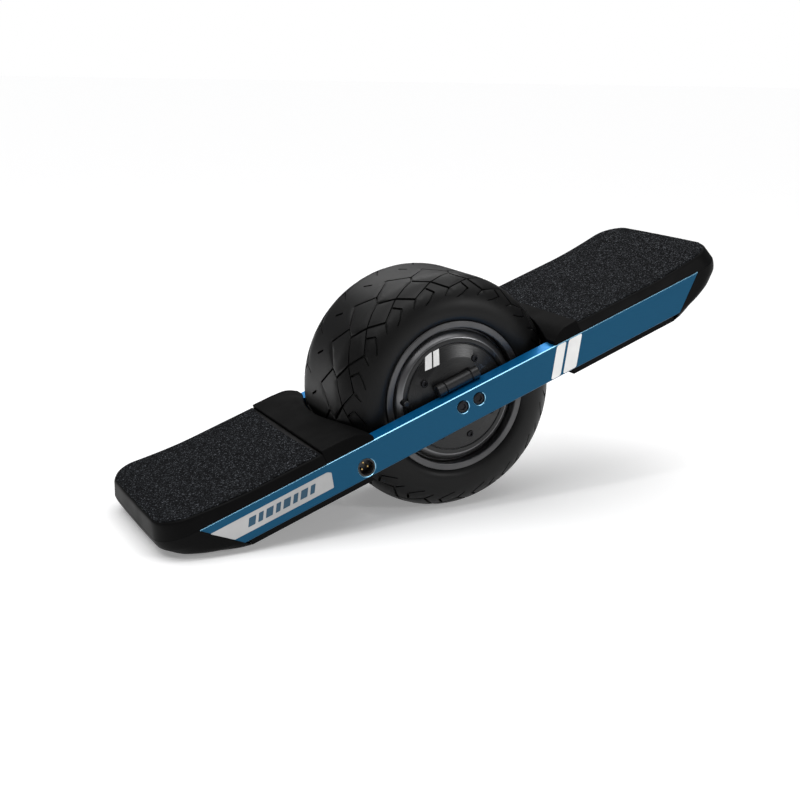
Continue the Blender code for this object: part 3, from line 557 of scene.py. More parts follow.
def socket_screw(seat, direction, head_r, head_h, shank_r, length, sides=36):
    """A screw with a hex socket. Its head stands on seat and points along direction."""
    def ring(radius, height, hexagonal=False):
        points = []
        for k in range(sides):
            a = 2 * math.pi * k / sides
            r = radius / math.cos(a % (math.pi / 3) - math.pi / 6) if hexagonal else radius
            points.append((r * math.cos(a), height, r * math.sin(a)))
        return points

    flat, deep = head_r * 0.52, head_h * 0.35
    rings = [
        ring(shank_r * 0.8, -length), ring(shank_r, -length + 0.5), ring(shank_r, 0.0),
        ring(head_r, 0.0), ring(head_r, head_h * 0.75), ring(head_r * 0.96, head_h * 0.9),
        ring(head_r * 0.88, head_h), ring(flat * 1.06, head_h, True), ring(flat, head_h * 0.92, True),
        ring(flat, deep, True),
    ]
    bm = lofted(rings)
    turn = Vector((0, 1, 0)).rotation_difference(Vector(direction)).to_matrix().to_4x4()
    bmesh.ops.transform(bm, matrix=Matrix.Translation(seat) @ turn, verts=bm.verts)
    return bm


# ---------------- tyre


PITCHES = 18
PITCH = 2 * math.pi * TYRE_R / PITCHES
CROWN_HALF = TYRE_HALF - SHOULDER_R
SHOULDER_V = CROWN_HALF + SHOULDER_R * math.pi / 2
SKIN_END = SHOULDER_V + math.hypot(TYRE_HALF - BEAD_Y, TYRE_R - SHOULDER_R - BEAD_R)
WIDE, THIN = (1.6, 3.0), (0.85, 1.8)  # half width and depth of a groove
GROOVE_SLOPE = 0.55
TREAD_PHASE = 8.6
DRAWN_PITCH = 50.1  # the pitch that the tables below are drawn at
TILE_COLUMNS, TILE_ROWS = 10, 22
# Grooves of one pitch as (u round the tyre, v across it), on the right-hand half of the tread
SIDE_GROOVES = (
    ((0.0, -75.0), (36.4, -45.4), WIDE),
    ((0.0, -75.0), (-63.8, -45.4), THIN),
    ((36.4, -45.4), (28.9, -30.0), THIN),
    ((0.0, -75.0), (9.0, -84.0), THIN),
    ((28.9, -68.6), (22.5, -76.0), WIDE),
    ((22.5, -76.0), (33.0, -84.0), THIN),
    ((33.0, -84.0), (41.8, -88.0), THIN),
)
CROWN_GROOVES = (
    ((28.9, -30.0), (50.4, -4.7), WIDE),
    ((28.9, -30.0), (0.9, -4.5), THIN),
    ((14.8, 10.5), (20.1, 21.2), WIDE),
)


def grooves():
    """Each groove near one pitch as (start, end, half width, depth). The sides' are point-symmetric."""
    found = []
    for run in SIDE_GROOVES + CROWN_GROOVES:
        ends = [(u * PITCH / DRAWN_PITCH, v) for u, v in run[:2]]
        found.append((*ends, *run[2]))
        if run in SIDE_GROOVES:
            found.append((*((PITCH / 2 - u, -v) for u, v in ends), *run[2]))
    near = []
    for a, b, half, depth in found:
        for pitch in range(-3, 4):
            shift = Vector((pitch * PITCH, 0.0))
            start, end = Vector(a) + shift, Vector(b) + shift
            if max(start.x, end.x) > -8 and min(start.x, end.x) < PITCH + 8:
                near.append((start, end, half, depth))
    return near


def capsule(a, b, radius):
    """Outline of a groove: a straight bar with round ends."""
    direction = (b - a).normalized()
    normal = Vector((-direction.y, direction.x))
    points = []
    for centre, sign in ((b, 1), (a, -1)):
        for step in range(5):
            angle = math.pi * (step / 4 - 0.5)
            out = direction * math.cos(angle) * sign + normal * math.sin(angle) * sign
            points.append(centre + out * radius)
    return points


def groove_depths(points, runs):
    """Depth of the tread at each (u, v)."""
    points = np.array(points, float)
    depths = np.zeros(len(points))
    nearest = np.full(len(points), 1e9)
    for a, b, half, depth in runs:
        a, b = np.array(a), np.array(b)
        span_ab = b - a
        t = np.clip((points - a) @ span_ab / (span_ab @ span_ab), 0, 1)
        distance = np.linalg.norm(points - (a + t[:, None] * span_ab), axis=1)
        depths = np.maximum(depths, depth * np.clip((half - distance) / GROOVE_SLOPE, 0, 1))
        nearest = np.minimum(nearest, distance - half)
    return depths, nearest


def tile_grid(runs, rows):
    """Staggered points that fill one pitch, clear of its grooves and its edges."""
    grid = []
    for j, v in enumerate(rows[1:-1]):
        for i in range(TILE_COLUMNS + 1):
            u = PITCH * (i + 0.5 * (j % 2)) / TILE_COLUMNS
            if 0.5 < u < PITCH - 0.5:
                grid.append(Vector((u, v)))
    _, clear = groove_depths(grid, runs)
    return [p for p, gap in zip(grid, clear) if gap > 1.4]


def tread_tile():
    """One pitch of the outer skin as flat points (u, v), their depths, and triangles."""
    runs = grooves()
    points, edges = [], []

    def add_loop(loop, closed=True):
        first = len(points)
        points.extend(loop)
        last = len(points) - 1
        edges.extend((i, i + 1) for i in range(first, last))
        if closed:
            edges.append((last, first))

    for a, b, half, _ in runs:
        add_loop(capsule(a, b, half))
        add_loop(capsule(a, b, half - GROOVE_SLOPE))
    rows = [SKIN_END * i / TILE_ROWS for i in range(-TILE_ROWS, TILE_ROWS + 1)]
    for v in (-SKIN_END, SKIN_END):
        add_loop([Vector((PITCH * i / TILE_COLUMNS, v)) for i in range(TILE_COLUMNS + 1)], False)
    for u in (0.0, PITCH):
        add_loop([Vector((u, v)) for v in rows], False)
    points.extend(tile_grid(runs, rows))
    verts, _, faces, *_ = delaunay_2d_cdt(points, edges, [], 0, 1e-4)
    kept = []
    for face in faces:
        centre = sum((verts[i] for i in face), Vector((0.0, 0.0))) / len(face)
        if 0 < centre.x < PITCH and abs(centre.y) < SKIN_END:
            kept.append(face)
    depths, _ = groove_depths(verts, runs)
    return verts, depths, kept


def skin_point(u, v, depth):
    """A point of the tread's flat layout on the tyre, sunk by depth."""
    side, reach = math.copysign(1.0, v), abs(v)
    if reach <= CROWN_HALF:
        y, radius, lean = reach, TYRE_R, 0.0
    elif reach <= SHOULDER_V:
        lean = (reach - CROWN_HALF) / SHOULDER_R
        y = CROWN_HALF + SHOULDER_R * math.sin(lean)
        radius = TYRE_R - SHOULDER_R * (1 - math.cos(lean))
    else:
        lean = math.pi / 2
        t = (reach - SHOULDER_V) / (SKIN_END - SHOULDER_V)
        y = TYRE_HALF + (BEAD_Y - TYRE_HALF) * t * t
        radius = TYRE_R - SHOULDER_R + (BEAD_R - TYRE_R + SHOULDER_R) * t
    y -= depth * math.sin(lean)
    radius -= depth * math.cos(lean)
    angle = (u + TREAD_PHASE) / TYRE_R
    return (-radius * math.sin(angle), side * y, radius * math.cos(angle))


def make_tyre():
    """The outer skin, pitch by pitch, then turned in at the beads and closed inside."""
    verts, depths, faces = tread_tile()
    bm = bmesh.new()
    for pitch in range(PITCHES):
        made = [bm.verts.new(skin_point(v.x + pitch * PITCH, v.y, d)) for v, d in zip(verts, depths)]
        for face in faces:
            bm.faces.new([made[i] for i in face])
    bmesh.ops.delete(bm, geom=[v for v in bm.verts if not v.link_faces], context="VERTS")
    bmesh.ops.remove_doubles(bm, verts=bm.verts, dist=0.02)
    open_edges = [e for e in bm.edges if e.is_boundary]
    for y_in, radius in ((BEAD_Y - 3.0, BEAD_R - 2.0), (BEAD_Y - 6.0, BEAD_R + 6.0), (30.0, 132.0)):
        made = bmesh.ops.extrude_edge_only(bm, edges=open_edges)["geom"]
        for vertex in (g for g in made if isinstance(g, bmesh.types.BMVert)):
            flat = Vector((vertex.co.x, 0.0, vertex.co.z)).normalized() * radius
            vertex.co = (flat.x, math.copysign(y_in, vertex.co.y), flat.z)
        open_edges = [g for g in made if isinstance(g, bmesh.types.BMEdge)]
    bmesh.ops.bridge_loops(bm, edges=open_edges)
    piece("tyre_tread", bm, "rubber", ["tyre"], "wheel", sharp=40.0)


# ---------------- rim and hub


def make_rim():
    outer = [(92.0, 79.6), (93.0, 79.0), (93.0, 76.5), (87.1, 75.4), (87.1, 62.0), (82.0, 48.0)]
    inner = [(75.0, 62.0), (84.5, 62.0), (84.5, 78.0), (85.4, 79.2)]
    half = inner + outer
    profile = half + [(r, -y) for r, y in half[::-1]]
    bm = turned(rounded(profile, 0.5, 2), 160)
    piece("rim_barrel", bm, "rim", ["rim"], "wheel", sharp=30.0)


def cover_profile(side):
    """Side cover: a flange in the rim, a steep flank, a flat ring with a seam, and a dome."""
    face = rounded([
        (84.2, 62.3), (84.2, 69.0), (81.0, 69.4), (79.0, 73.5), (73.5, 78.2), (71.0, 78.9),
        (67.0, 79.1), (66.6, 78.1), (65.8, 78.1), (65.4, 79.3), (50.0, 84.5), (30.0, 88.5), (15.0, 88.5),
    ], 1.3, 4, closed=False)
    back = [
        (15.0, 75.3), (20.3, 75.3), (20.3, 61.7), (26.0, 61.7), (28.0, 74.0), (60.0, 70.0), (66.0, 62.3),
    ]
    return [(r, side * y) for r, y in face + back]


def cover_screw_seat(angle, side):
    a = math.radians(angle)
    return COVER_SCREW_R * math.cos(a), side * COVER_SCREW_Y, COVER_SCREW_R * math.sin(a)


def make_cover(name):
    side = side_of(name)
    bm = turned(cover_profile(side), 160)
    cover = piece(
        f"hub_cover_{name}_cast", bm, "cover", [f"hub_cover_{name}"], "wheel",
        sharp=30.0,
    )
    seats = [cover_screw_seat(angle, side) for angle in COVER_SCREW_ANGLES]
    cut(cover, [rod(4.7, (x, y, z), (x, side * 95.0, z), 36) for x, y, z in seats])
    # The flank gets the lighter look, a painted highlight.
    cover.data.materials.append(LOOKS["cover_painted_highlight"])
    for face in cover.data.polygons:
        centre = BOARD.inverted() @ face.center
        if math.hypot(centre.x, centre.z) > FLANK_R and abs(centre.y) > FLANK_Y:
            face.material_index = 1
    for angle, (x, y, z) in zip(COVER_SCREW_ANGLES, seats):
        screw = socket_screw((x, y + side * 0.1, z), (0, side, 0), 4.2, 3.0, 2.0, 7.0)
        replaced = []
        if angle in CAD_SCREW_ANGLES:
            replaced = [f"cover_screw_{name}_{CAD_SCREW_ANGLES.index(angle) + 1}"]
        piece(f"hub_screw_{name}_{angle}", screw, "black_steel", replaced, "wheel")


def make_valve():
    x, z = -66.5, 24.0
    stem = rod(4.2, (x, -75.5, z), (x, -82.2, z), 40, 0.4)
    piece("valve_stem_rubber", stem, "rubber", ["valve_stem"], "wheel")
    rings, count, rib = [], 48, 0.22
    for y, radius in ((-82.5, 3.3), (-83.0, 3.6), (-87.0, 3.6), (-87.8, 2.9)):
        ring = []
        for k in range(count):
            a = 2 * math.pi * k / count
            r = radius - (rib if k % 2 else 0.0)
            ring.append((x + r * math.cos(a), y, z + r * math.sin(a)))
        rings.append(ring)
    cap = lofted(rings)
    piece("valve_cap_ribbed", cap, "socket", ["valve_cap"], "wheel", sharp=25.0)


def slanted(x0, x1, z0, z1, lean):
    """A parallelogram whose top is pushed along X by lean."""
    return [(x0, z0), (x1, z0), (x1 + lean, z1), (x0 + lean, z1)]


def make_hub_mark(name, outline, steps=8):
    """A printed bar that follows the dome of the right cover."""
    a, b, c, d = (Vector(p) for p in outline)
    grid = []
    for i in range(steps + 1):
        left, right = a.lerp(d, i / steps), b.lerp(c, i / steps)
        grid.append([left.lerp(right, j / steps) for j in range(steps + 1)])
    under, over = (
        [[(p.x, -(along(COVER_FACE, p.length) + lift), p.y) for p in row] for row in grid]
        for lift in (0.0, 0.25)
    )
    piece(name, slab(under, over), "white_mark", body="wheel")


# ---------------- rails and axle blocks


def rail_end(z):
    """Where a rail's slanted end is at height z."""
    share = (z - RAIL_BOTTOM) / (RAIL_TOP - RAIL_BOTTOM)
    return RAIL_FOOT + (RAIL_TIP - RAIL_FOOT) * share


def bore(radius, x, z, side, floor):
    """Cutter for a hole in a rail's outer face, down to floor, with its edge broken."""
    edge = RAIL_FACE - RIM_CHAMFER - floor
    wide, high = radius + 2.0, edge + 2.0
    profile = [(0.0, 0.0), (radius, 0.0), (radius, edge), (wide, high), (0.0, high)]
    turn = Matrix.Rotation(0.0 if side > 0 else math.pi, 4, "X")
    return turned(profile, 64, Matrix.Translation((x, side * floor, z)) @ turn)


def rail_section():
    """A channel open inwards, as (y, z), with its outer corners chamfered."""
    web, chamfered = RAIL_FACE - WEB, RAIL_FACE - RAIL_CHAMFER
    return [
        (FLANGE_IN, RAIL_TOP), (chamfered, RAIL_TOP), (RAIL_FACE, RAIL_TOP - RAIL_CHAMFER),
        (RAIL_FACE, RAIL_BOTTOM + RAIL_CHAMFER), (chamfered, RAIL_BOTTOM), (FLANGE_IN, RAIL_BOTTOM),
        (FLANGE_IN, RAIL_BOTTOM + FLANGE), (web, RAIL_BOTTOM + FLANGE),
        (web, RAIL_TOP - FLANGE), (FLANGE_IN, RAIL_TOP - FLANGE),
    ]


def paint_rail_light(rail):
    """Paints light onto the rail: a brighter blue on the faces that look up, as painted light for the light they
    catch from above, and a pale blue painted highlight on the chamfers.
    """
    for look in ("blue_edge_painted_highlight", "blue_top_painted_light"):
        rail.data.materials.append(LOOKS[look])
    for face in rail.data.polygons:
        upward = face.normal.dot(deck_up)
        # Upward faces get the brighter blue, painted light; the chamfers get the pale blue painted highlight.
        if upward > 0.99:
            face.material_index = 2
        elif 0.3 < abs(face.normal.y) < 0.95 and upward > -0.5:
            face.material_index = 1


def make_rail(name):
    side = side_of(name)
    section = [(side * y, z) for y, z in rail_section()]
    bm = lofted([[(end * rail_end(z), y, z) for y, z in section] for end in (-1, 1)])
    rail = piece(f"rail_{name}_extrusion", bm, "blue", [f"rail_{name}"])
    near, far = side * 100.0, side * 120.0
    heads = [bore(8.0, x, BOLT_Z, side, BOLT_FLOOR) for x in (-BOLT_X, BOLT_X)]
    shanks = [rod(4.6, (x, near, BOLT_Z), (x, far, BOLT_Z), 40) for x in (-BOLT_X, BOLT_X)]
    cut(rail, heads + shanks + [bore(PORT_R, PORT_X, PORT_Z, side, 95.5)])
    paint_rail_light(rail)


def make_axle_block(name):
    """A clamp round the axle, a neck and, on top, a barrel between two collars."""
    side = side_of(name)
    low, high = sorted((side * BLOCK_IN, side * BLOCK_OUT))
    clamp = box((-29, low, -16), (29, high, 13.4))
    piece(f"axle_clamp_{name}", clamp, "block", [f"axle_block_{name}"], bevel=1.2)
    y, z = side * 97.2, 24.7
    low, high = sorted((side * BLOCK_IN, side * 95.6))
    neck = box((-25, low, -10), (25, high, z))
    piece(f"axle_neck_{name}", neck, "block", bevel=0.8)
    barrel = rod(7.5, (-17.6, y, z), (17.6, y, z), 64, 0.5)
    piece(f"axle_barrel_{name}", barrel, "block")
    pin = rod(6.4, (-28.0, y, z), (28.0, y, z), 48)
    piece(f"barrel_core_{name}", pin, "black_steel")
    for end in (-1, 1):
        collar = rod(7.8, (end * 18.4, y, z), (end * 29.0, y, z), 64, 0.7)
        piece(f"axle_collar_{name}_{end + 2}", collar, "block")
    for number, x in enumerate((-BOLT_X, BOLT_X), 1):
        seat = (x, side * (BOLT_FLOOR + 0.2), BOLT_Z)
        bolt = socket_screw(seat, (0, side, 0), 7.0, 2.6, 4.0, 5.0, 48)
        node = f"axle_bolt_{name}_{number}"
        piece(f"{node}_head", bolt, "black_steel", [node])


def decal(name, outline, look, lift=0.1, radius=0.6):
    """A thin printed shape on the right rail's outer face."""
    shape = prism(rounded(outline, radius, 4), "Y", -(RAIL_FACE + lift), 0.4 - RAIL_FACE)
    piece(name, shape, look)


def make_marks():
    """Plain shapes where the board carries print: a pale panel with bars, and two pairs of bars."""
    panel = [(-344.5, 6.8), (-321.9, -13.3), (-194.5, -13.3), (-191.0, 5.0), (-195.5, 7.6)]
    decal("side_panel", panel, "panel", lift=0.08, radius=1.2)
    x, gap = -303.0, 3.6
    for number, width in enumerate((9, 6, 9, 6, 9, 6, 9, 6)):
        bar = slanted(x, x + width, -7.6, 2.2, 5.0)
        decal(f"panel_bar_{number}", bar, "blue_mark", lift=0.16, radius=0.8)
        x += width + gap
    top, bottom = RAIL_TOP - 1.4, RAIL_BOTTOM + 1.2
    decal("rail_bar_rear", slanted(110, 124, bottom, top, 21.0), "white_mark", radius=3.0)
    decal("rail_bar_front", slanted(128, 148, bottom, top, 21.0), "white_mark", radius=3.0)
    make_hub_mark("hub_bar_rear", slanted(-29, -20, 49.5, 66.0, 8.0))
    make_hub_mark("hub_bar_front", slanted(-18, -10, 49.5, 66.0, 8.0))


# ---------------- deck


def plan(inner, start, nose, half, corner, z, rise=0.0):
    """One level of a deck end: straight sides, elliptical corners and a faintly bowed nose."""
    half_ring = [(inner + (start - inner) * i / 22, half) for i in range(23)]
    for i in range(1, 13):
        a = math.pi / 2 * i / 12
        half_ring.append((start + (nose - start) * math.sin(a), half - corner * (1 - math.cos(a))))
    half_ring += [(nose, (half - corner) * (1 - i / 5)) for i in range(1, 5)]
    ring = []
    for x, y in half_ring:
        out = x - NOSE_BOW * (y / half) ** 2 * max(0.0, (x - start) / max(nose - start, 1e-6))
        ring.append((out, y, z + rise * kick(out)))
    return ring + [(x, -y, z) for x, y, z in ring[::-1]]


def laddered(bm, ring):
    """Closes a ring that is the same on both sides of the centre line with straight rungs."""
    last = len(ring) - 1
    for i in range(len(ring) // 2 - 1):
        bm.faces.new((ring[i], ring[i + 1], ring[last - 1 - i], ring[last - i]))


def stacked(levels, side):
    """A solid from its levels, lowest first. The rear end's is mirrored."""
    bm = bmesh.new()
    rings = [[bm.verts.new((side * x, y, z)) for x, y, z in level] for level in levels]
    bridged(bm, rings, ends=False)
    laddered(bm, rings[0])
    laddered(bm, rings[-1])
    return bm


def deck_half(up):
    """Half the width of the deck at a share of its height."""
    return DECK_HALF_LOW + (DECK_HALF_HIGH - DECK_HALF_LOW) * up


def pad_level(end, up, inset=0.0):
    """A level of a footpad at a share of its height, pulled in by inset."""
    nose = NOSE_LOW + (NOSE_HIGH - NOSE_LOW) * up
    half = deck_half(up)
    z = PAD_LOW + (PAD_HIGH - PAD_LOW) * up
    inner, start, corner = SPLIT[end] + 0.3 + inset * 0.5, nose - NOSE_CORNER, NOSE_CORNER - inset
    return plan(inner, start, nose - inset, half - inset, corner, z, up)


def make_pad(end):
    ease, height = 2.2, PAD_HIGH - PAD_LOW
    levels = [pad_level(end, up) for up in (0.0, 0.2, 0.4, 0.6, 0.8)]
    for i in range(1, 6):
        a = math.pi / 2 * i / 5
        levels.append(pad_level(end, 1 - ease * (1 - math.sin(a)) / height, ease * (1 - math.cos(a))))
    bm = stacked(levels, side_of(end))
    piece(f"{end}_footpad_deck", bm, "plastic", [f"{end}_footpad"], sharp=40.0)


def grip_rows(inner):
    """Where the rows of grit lie along the board, closer together in the round nose."""
    rows, x = [], inner
    while x < GRIP_NOSE - 0.3:
        rows.append(x)
        share = (x - GRIP_START) / (GRIP_NOSE - GRIP_START)
        x += GRIP_CELL if share < 0 else max(0.25, GRIP_CELL * (1.02 - share))
    return rows + [GRIP_NOSE]


def grip_point(end, x, across):
    """A grip point's place from above: x along the board, across from -1 to 1."""
    nosed = max(0.0, (x - GRIP_START) / (GRIP_NOSE - GRIP_START))
    y = across * (GRIP_HALF - GRIP_CORNER * (1 - math.sqrt(1 - min(1.0, nosed) ** 2)))
    bowed = (y / GRIP_HALF) ** 2
    x_out = x - NOSE_BOW * bowed * nosed
    if end == "rear":
        x_out += 5.0 * (1 - bowed) * max(0.0, 1 - (x - SPLIT[end] - 2.0) / 12.0)
    return x_out, y


def make_grip(end):
    """The grit sheet: a dense, slightly uneven skin on the footpad."""
    side = side_of(end)
    jitter = random.Random(7 if end == "front" else 11)
    rows = grip_rows(SPLIT[end] + 2.0)
    tops, bases = [], []
    for row in rows:
        top, base = [], []
        for j in range(GRIP_COLUMNS + 1):
            x, y = grip_point(end, row, 2 * j / GRIP_COLUMNS - 1)
            on_edge = row in (rows[0], rows[-1]) or j in (0, GRIP_COLUMNS)
            grit = -0.45 if on_edge else jitter.uniform(-0.16, 0.16)
            top.append((side * x, y, GRIP_HIGH - 0.16 + grit + kick(x)))
            base.append((side * x, y, PAD_HIGH + 0.05 + kick(x)))
        tops.append(top)
        bases.append(base)
    piece(f"{end}_grip_sheet", slab(tops, bases), "grip", [f"{end}_grip"], sharp=60.0)


def well_x(y):
    """How far the wheel opening reaches from the axle, at y across the board."""
    return 129 + 23 * math.cos(math.pi / 2 * min(1.0, abs(y) / 100))


def fender_top(x):
    """Height of a fender at x, with the bends smoothed."""
    return sum(along(FENDER_TOP, x + d) for d in (-3, -1.5, 0, 1.5, 3)) / 5


def make_fender(end):
    """The cap between the footpad and the wheel opening, rounded down towards the tyre."""
    side = side_of(end)
    tops, bases = [], []
    for j in range(FENDER_COLUMNS + 1):
        across = 2 * j / FENDER_COLUMNS - 1
        near = well_x(across * DECK_HALF_LOW)
        top, base = [], []
        for i in range(FENDER_ROWS + 1):
            x = near + (SPLIT[end] - near) * (i / FENDER_ROWS) ** 1.4
            z = fender_top(x)
            half = deck_half((z - PAD_LOW) / (FENDER_TOP[-1][1] - PAD_LOW))
            top.append((side * x, across * half, z))
            base.append((side * x, across * DECK_HALF_LOW, PAD_LOW))
        tops.append(top)
        bases.append(base)
    piece(
        f"{end}_fender_cap", slab(tops, bases), "smooth_plastic", [f"{end}_fender"],
        sharp=38.0, bevel=1.6,
    )


def make_well(end):
    """The wall that follows the wheel opening below a fender, and its floor."""
    side, back = side_of(end), BOX_IN - 0.3
    ys = [WELL_HALF * (2 * i / WELL_STEPS - 1) for i in range(WELL_STEPS + 1)]
    near, middle, far = ([(side * (well_x(y) + gap), y) for y in ys] for gap in (0.4, 2.0, 4.0))
    wall = prism(near + far[::-1], "Z", BOX_BOTTOM, PAD_LOW + 0.2)
    piece(f"{end}_fender_wall", wall, "smooth_plastic")
    ledge = middle + [(side * back, WELL_HALF), (side * back, -WELL_HALF)]
    floor = prism(ledge, "Z", BOX_BOTTOM + 0.2, BOX_BOTTOM + 3.0)
    piece(f"{end}_fender_floor", floor, "plastic", bevel=0.5)


def bumper_level(z):
    """A level of a bumper, just behind the slanted ends of the rails."""
    nose = sum(along(BUMPER_FACE, z + d) for d in (-2, -1, 0, 1, 2)) / 5
    inner = max(BOX_OUT + 0.3, rail_end(z) + 0.6)
    corner = min(NOSE_CORNER, max(0.6, nose - inner - 0.5))
    return plan(inner, nose - corner, nose, along(BUMPER_HALF, z), corner, z)


def lens_strip(side, gap, front, depth):
    """The strip in the nose's sloping face, from front to depth below it."""
    way = (LENS_HIGH - LENS_LOW).normalized()
    inward = Vector((-way.y, way.x))
    a, b = LENS_LOW + way * (4.0 + gap), LENS_LOW + way * (16.5 - gap)
    corners = (a + inward * front, b + inward * front, b + inward * depth, a + inward * depth)
    return [(side * p.x, p.y) for p in corners]


def make_bumper(end):
    side, x = side_of(end), side_of(end) * BUMPER_SCREW_X
    bm = stacked([bumper_level(z) for z in BUMPER_LEVELS], side)
    bumper = piece(f"{end}_bumper_nose", bm, "plastic", [f"{end}_bumper"], sharp=50.0)
    holes = [prism(lens_strip(side, 0.0, -3.0, 4.0), "Y", -LENS_HALF - 0.3, LENS_HALF + 0.3)]
    for y in (-BUMPER_SCREW_Y, BUMPER_SCREW_Y):
        holes.append(rod(4.7, (x, y, BUMPER_SCREW_Z), (x, y, -40.0), 36))
    cut(bumper, holes)
    lens = prism(lens_strip(side, 0.25, 0.25, 3.8), "Y", -LENS_HALF, LENS_HALF)
    piece(f"{end}_light_strip", lens, "lens", [f"{end}_light_lens"], bevel=0.8)
    for name in ("left", "right"):
        make_deck_screws(end, name)


def make_deck_screws(end, name):
    """One bumper screw and one footpad screw, both driven from below."""
    bumper_seat = (BUMPER_SCREW_X, BUMPER_SCREW_Y, BUMPER_SCREW_Z - 0.2)
    footpad_seat = (240, 104.5, RAIL_TOP - FLANGE - 0.4)
    for kind, seat, size in (
        ("bumper", bumper_seat, (4.2, 2.6, 2.1, 7.0)),
        ("footpad", footpad_seat, (4.6, 3.5, 2.4, 8.0)),
    ):
        x, y, z = seat
        screw = socket_screw((side_of(end) * x, side_of(name) * y, z), (0, 0, -1), *size)
        piece(
            f"{kind}_bolt_{end}_{name}", screw, "black_steel",
            [f"{kind}_screw_{end}_{name}"],
        )


def skid_outline(side):
    """A skid plate from above: wide under the rail, and notched where the fender's floor lies."""
    near, inner = BOX_HALF + 0.4, BOX_IN + 0.5
    corners = [(BOX_OUT, SKID_HALF), (SKID_IN, SKID_HALF), (SKID_IN, near), (inner, near)]
    return [(side * x, y) for x, y in corners + [(x, -y) for x, y in corners[::-1]]]


def make_case(prefix, end):
    """Tray between the rails on a grooved skid plate, and its lid."""
    side = side_of(end)
    low_x, high_x = sorted((side * BOX_IN, side * BOX_OUT))
    block = box((low_x, -BOX_HALF, BOX_BOTTOM + 3), (high_x, BOX_HALF, 12.2))
    tray = piece(f"{prefix}_tray", block, "plastic", [f"{prefix}_box"])
    room = BOX_HALF - 3
    cut(tray, [box((low_x + 3, -room, BOX_BOTTOM + 3.5), (high_x - 3, room, 30.0))])
    plate = prism(skid_outline(side), "Z", BOX_BOTTOM, SKID_TOP)
    skid = piece(f"{prefix}_skid_plate", plate, "plastic")
    cut(skid, [
        box((low_x + 12, y - 1.5, BOX_BOTTOM - 5), (high_x - 12, y + 1.5, BOX_BOTTOM + 1))
        for y in range(-90, 91, 15)
    ])
    soften(skid, 1.0)
    lid = box((low_x, -BOX_HALF, 12.5), (high_x, BOX_HALF, 15.5))
    piece(f"{prefix}_cover_plate", lid, "plastic", [f"{prefix}_lid"], bevel=0.6)


# ---------------- socket and button


def at_port(profile):
    return turned(profile, 64, Matrix.Translation((PORT_X, 0.0, PORT_Z)))


def make_port():
    """The charge socket in the right rail: a shell with three pins."""
    face, floor, back = -117.2, -105.5, -98.5
    shell = at_port([
        (0.0, back), (10.7, back), (10.7, face), (9.2, face), (9.0, face + 0.4),
        (9.0, floor), (0.0, floor),
    ])
    piece("charge_socket_shell", shell, "socket", ["charge_port"])
    for number, angle in enumerate((90, 210, 330)):
        x = PORT_X + 4.5 * math.cos(math.radians(angle))
        z = PORT_Z + 4.5 * math.sin(math.radians(angle))
        pin = rod(1.2, (x, floor + 0.5, z), (x, -110.5, z), 24, 0.35)
        piece(f"charge_pin_{number}", pin, "pin")


def make_button():
    """The power button in the left rail: a bezel and the cap that is pressed."""
    face, back = 117.5, 101.0
    bezel = at_port([
        (0.0, 105.0), (7.5, 105.0), (7.5, face - 0.3), (8.0, face), (10.3, face), (10.7, face - 0.4),
        (10.7, back), (0.0, back),
    ])
    piece("button_ring", bezel, "socket", ["button_bezel"])
    cap = at_port([(0.0, 117.1), (5.2, 117.2), (6.6, 117.4), (7.2, 116.9), (7.2, 108.0), (0.0, 108.0)])
    piece("button_cap", cap, "button", ["power_button"], "power_button")


# ---------------- inside, floor, light and camera


INNER_LOOKS = {
    "steel": ("axle", "stator", "magnet_ring", "bearing_left", "bearing_right"),
    "copper": ("winding_left", "winding_right"), "cable": ("motor_cable",), "block": ("stator_hub",),
    "socket": ("motor_connector",), "circuit": ("controller_board", "battery_monitor_board"),
    "cells": ("battery_pack",), "sensor": ("foot_sensor",),
}


def dress_inner_nodes():
    """Better materials on the CAD nodes that stay."""
    for look, names in INNER_LOOKS.items():
        for name in names:
            for slot in frame["nodes"][name].material_slots:
                slot.material = LOOKS[look]


def make_floor():
    """A plain floor, 80 m across, so that its edge is never seen."""
    bm = bmesh.new()
    bmesh.ops.create_grid(bm, x_segments=2, y_segments=2, size=40.0)
    mesh = bpy.data.meshes.new("floor")
    bm.to_mesh(mesh)
    bm.free()
    mesh.materials.append(LOOKS["floor"])
    floor = placed("floor", mesh)


def aimed(location, target):
    """Placed at location, with its own -Z towards target."""
    location, target = Vector(location), Vector(target)
    turn = (target - location).to_track_quat("-Z", "Y")
    return Matrix.Translation(location) @ turn.to_matrix().to_4x4()


def add_light(name, kind, matrix, energy, **settings):
    data = bpy.data.lights.new(name, kind)
    data.energy = energy
    for key, value in settings.items():
        setattr(data, key, value)
    light = placed(name, data)
    light.matrix_world = matrix
    light.visible_camera = False


CENTRE = (0.0, 0.0, 0.15)
SUN_PLACE, SUN_STRENGTH, SUN_SPREAD = (-0.1, 0.35, 2.4), 2.35, math.radians(90)
PANELS = (  # name, place and power in metres and watts, width and height
    ("front_left", (-1.25, -1.1, 1.9), 5.0, (0.5, 0.35)),
    ("front_right", (1.25, -1.85, 0.95), 10.0, (0.45, 0.35)),
    ("edge", (0.1, -0.5, 1.8), 5.0, (1.3, 0.15)),
    ("back", (0.5, 1.8, 1.35), 4.0, (1.4, 0.4)),
)
ROOM, BACKDROP = (0.14, 0.14, 0.143, 1.0), (1.0, 1.0, 1.0, 1.0)


def make_lights():
    """A broad overhead light and four soft panels."""
    add_light("key", "SUN", aimed(SUN_PLACE, CENTRE), SUN_STRENGTH, angle=SUN_SPREAD)
    for name, place, power, (width, height) in PANELS:
        matrix = aimed(place, CENTRE)
        add_light(name, "AREA", matrix, power, shape="RECTANGLE", size=width, size_y=height)


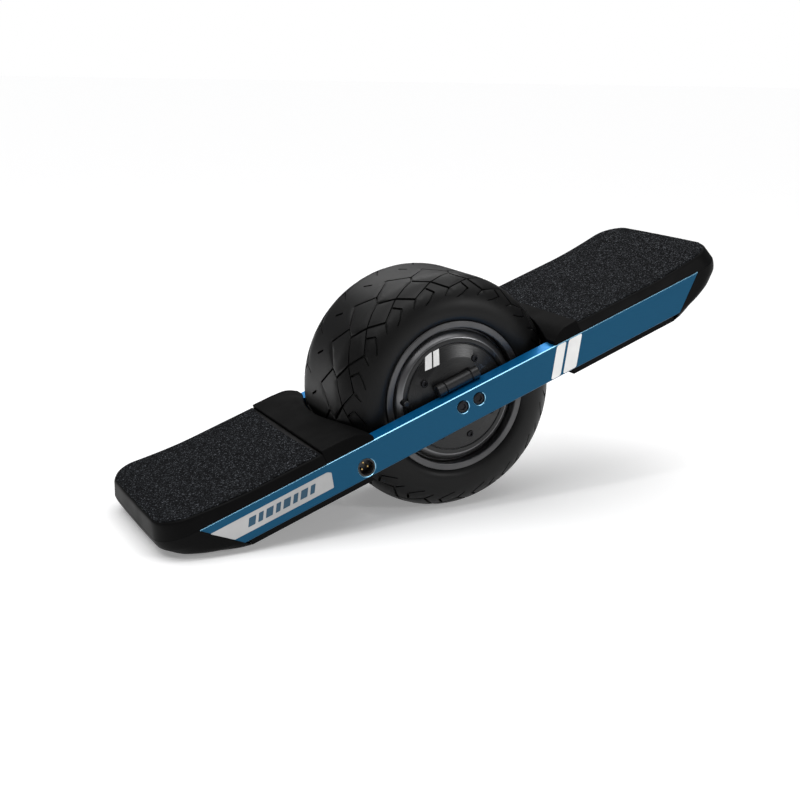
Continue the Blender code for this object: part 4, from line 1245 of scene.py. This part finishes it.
def make_world():
    """A dim grey room round the board, behind a white backdrop."""
    world = bpy.data.worlds.new("studio")
    world.use_nodes = True
    scene.world = world
    tree = world.node_tree
    background = tree.nodes["Background"]
    background.inputs["Strength"].default_value = 1.0
    path = tree.nodes.new("ShaderNodeLightPath")
    mix = tree.nodes.new("ShaderNodeMix")
    mix.data_type = "RGBA"
    mix.inputs["A"].default_value = ROOM
    mix.inputs["B"].default_value = BACKDROP
    tree.links.new(path.outputs["Is Camera Ray"], mix.inputs["Factor"])
    tree.links.new(mix.outputs["Result"], background.inputs["Color"])


# The camera's direction from the axle, for a board tipped by VIEW_TILT
VIEW_TILT = math.radians(19.49)
VIEW_TURN = math.radians(-27.13)
VIEW_RISE = math.radians(14.01)
VIEW_DISTANCE = 1.6758
FOCAL_LENGTH, SENSOR_WIDTH, SHIFT_X, SHIFT_Y = 59.66, 36.0, -0.0330, -0.0222


def make_camera():
    """Turned with the board, so that it sees the rails at the same angle whatever the tilt."""
    tipped = Matrix.Rotation(VIEW_TILT - TILT, 4, "Y")
    facing = Matrix.Rotation(VIEW_TURN, 4, "Z") @ Matrix.Rotation(math.pi / 2 - VIEW_RISE, 4, "X")
    data = bpy.data.cameras.new("camera")
    data.lens = FOCAL_LENGTH
    data.sensor_width = SENSOR_WIDTH
    data.shift_x = SHIFT_X
    data.shift_y = SHIFT_Y
    camera = placed("camera", data)
    back_off = Matrix.Translation((0.0, 0.0, VIEW_DISTANCE))
    camera.matrix_world = Matrix.Translation(AXLE) @ tipped @ facing @ back_off
    scene.camera = camera
    scene.view_settings.view_transform = "Standard"


LOOKS = make_looks()
make_camera()
make_tyre()
make_rim()
make_valve()
for side_name in ("left", "right"):
    make_cover(side_name)
    make_rail(side_name)
    make_axle_block(side_name)
make_marks()
for end_name, case_name in (("front", "controller"), ("rear", "battery")):
    make_pad(end_name)
    make_grip(end_name)
    make_fender(end_name)
    make_well(end_name)
    make_bumper(end_name)
    make_case(case_name, end_name)
make_port()
make_button()
dress_inner_nodes()
make_floor()
make_lights()
make_world()
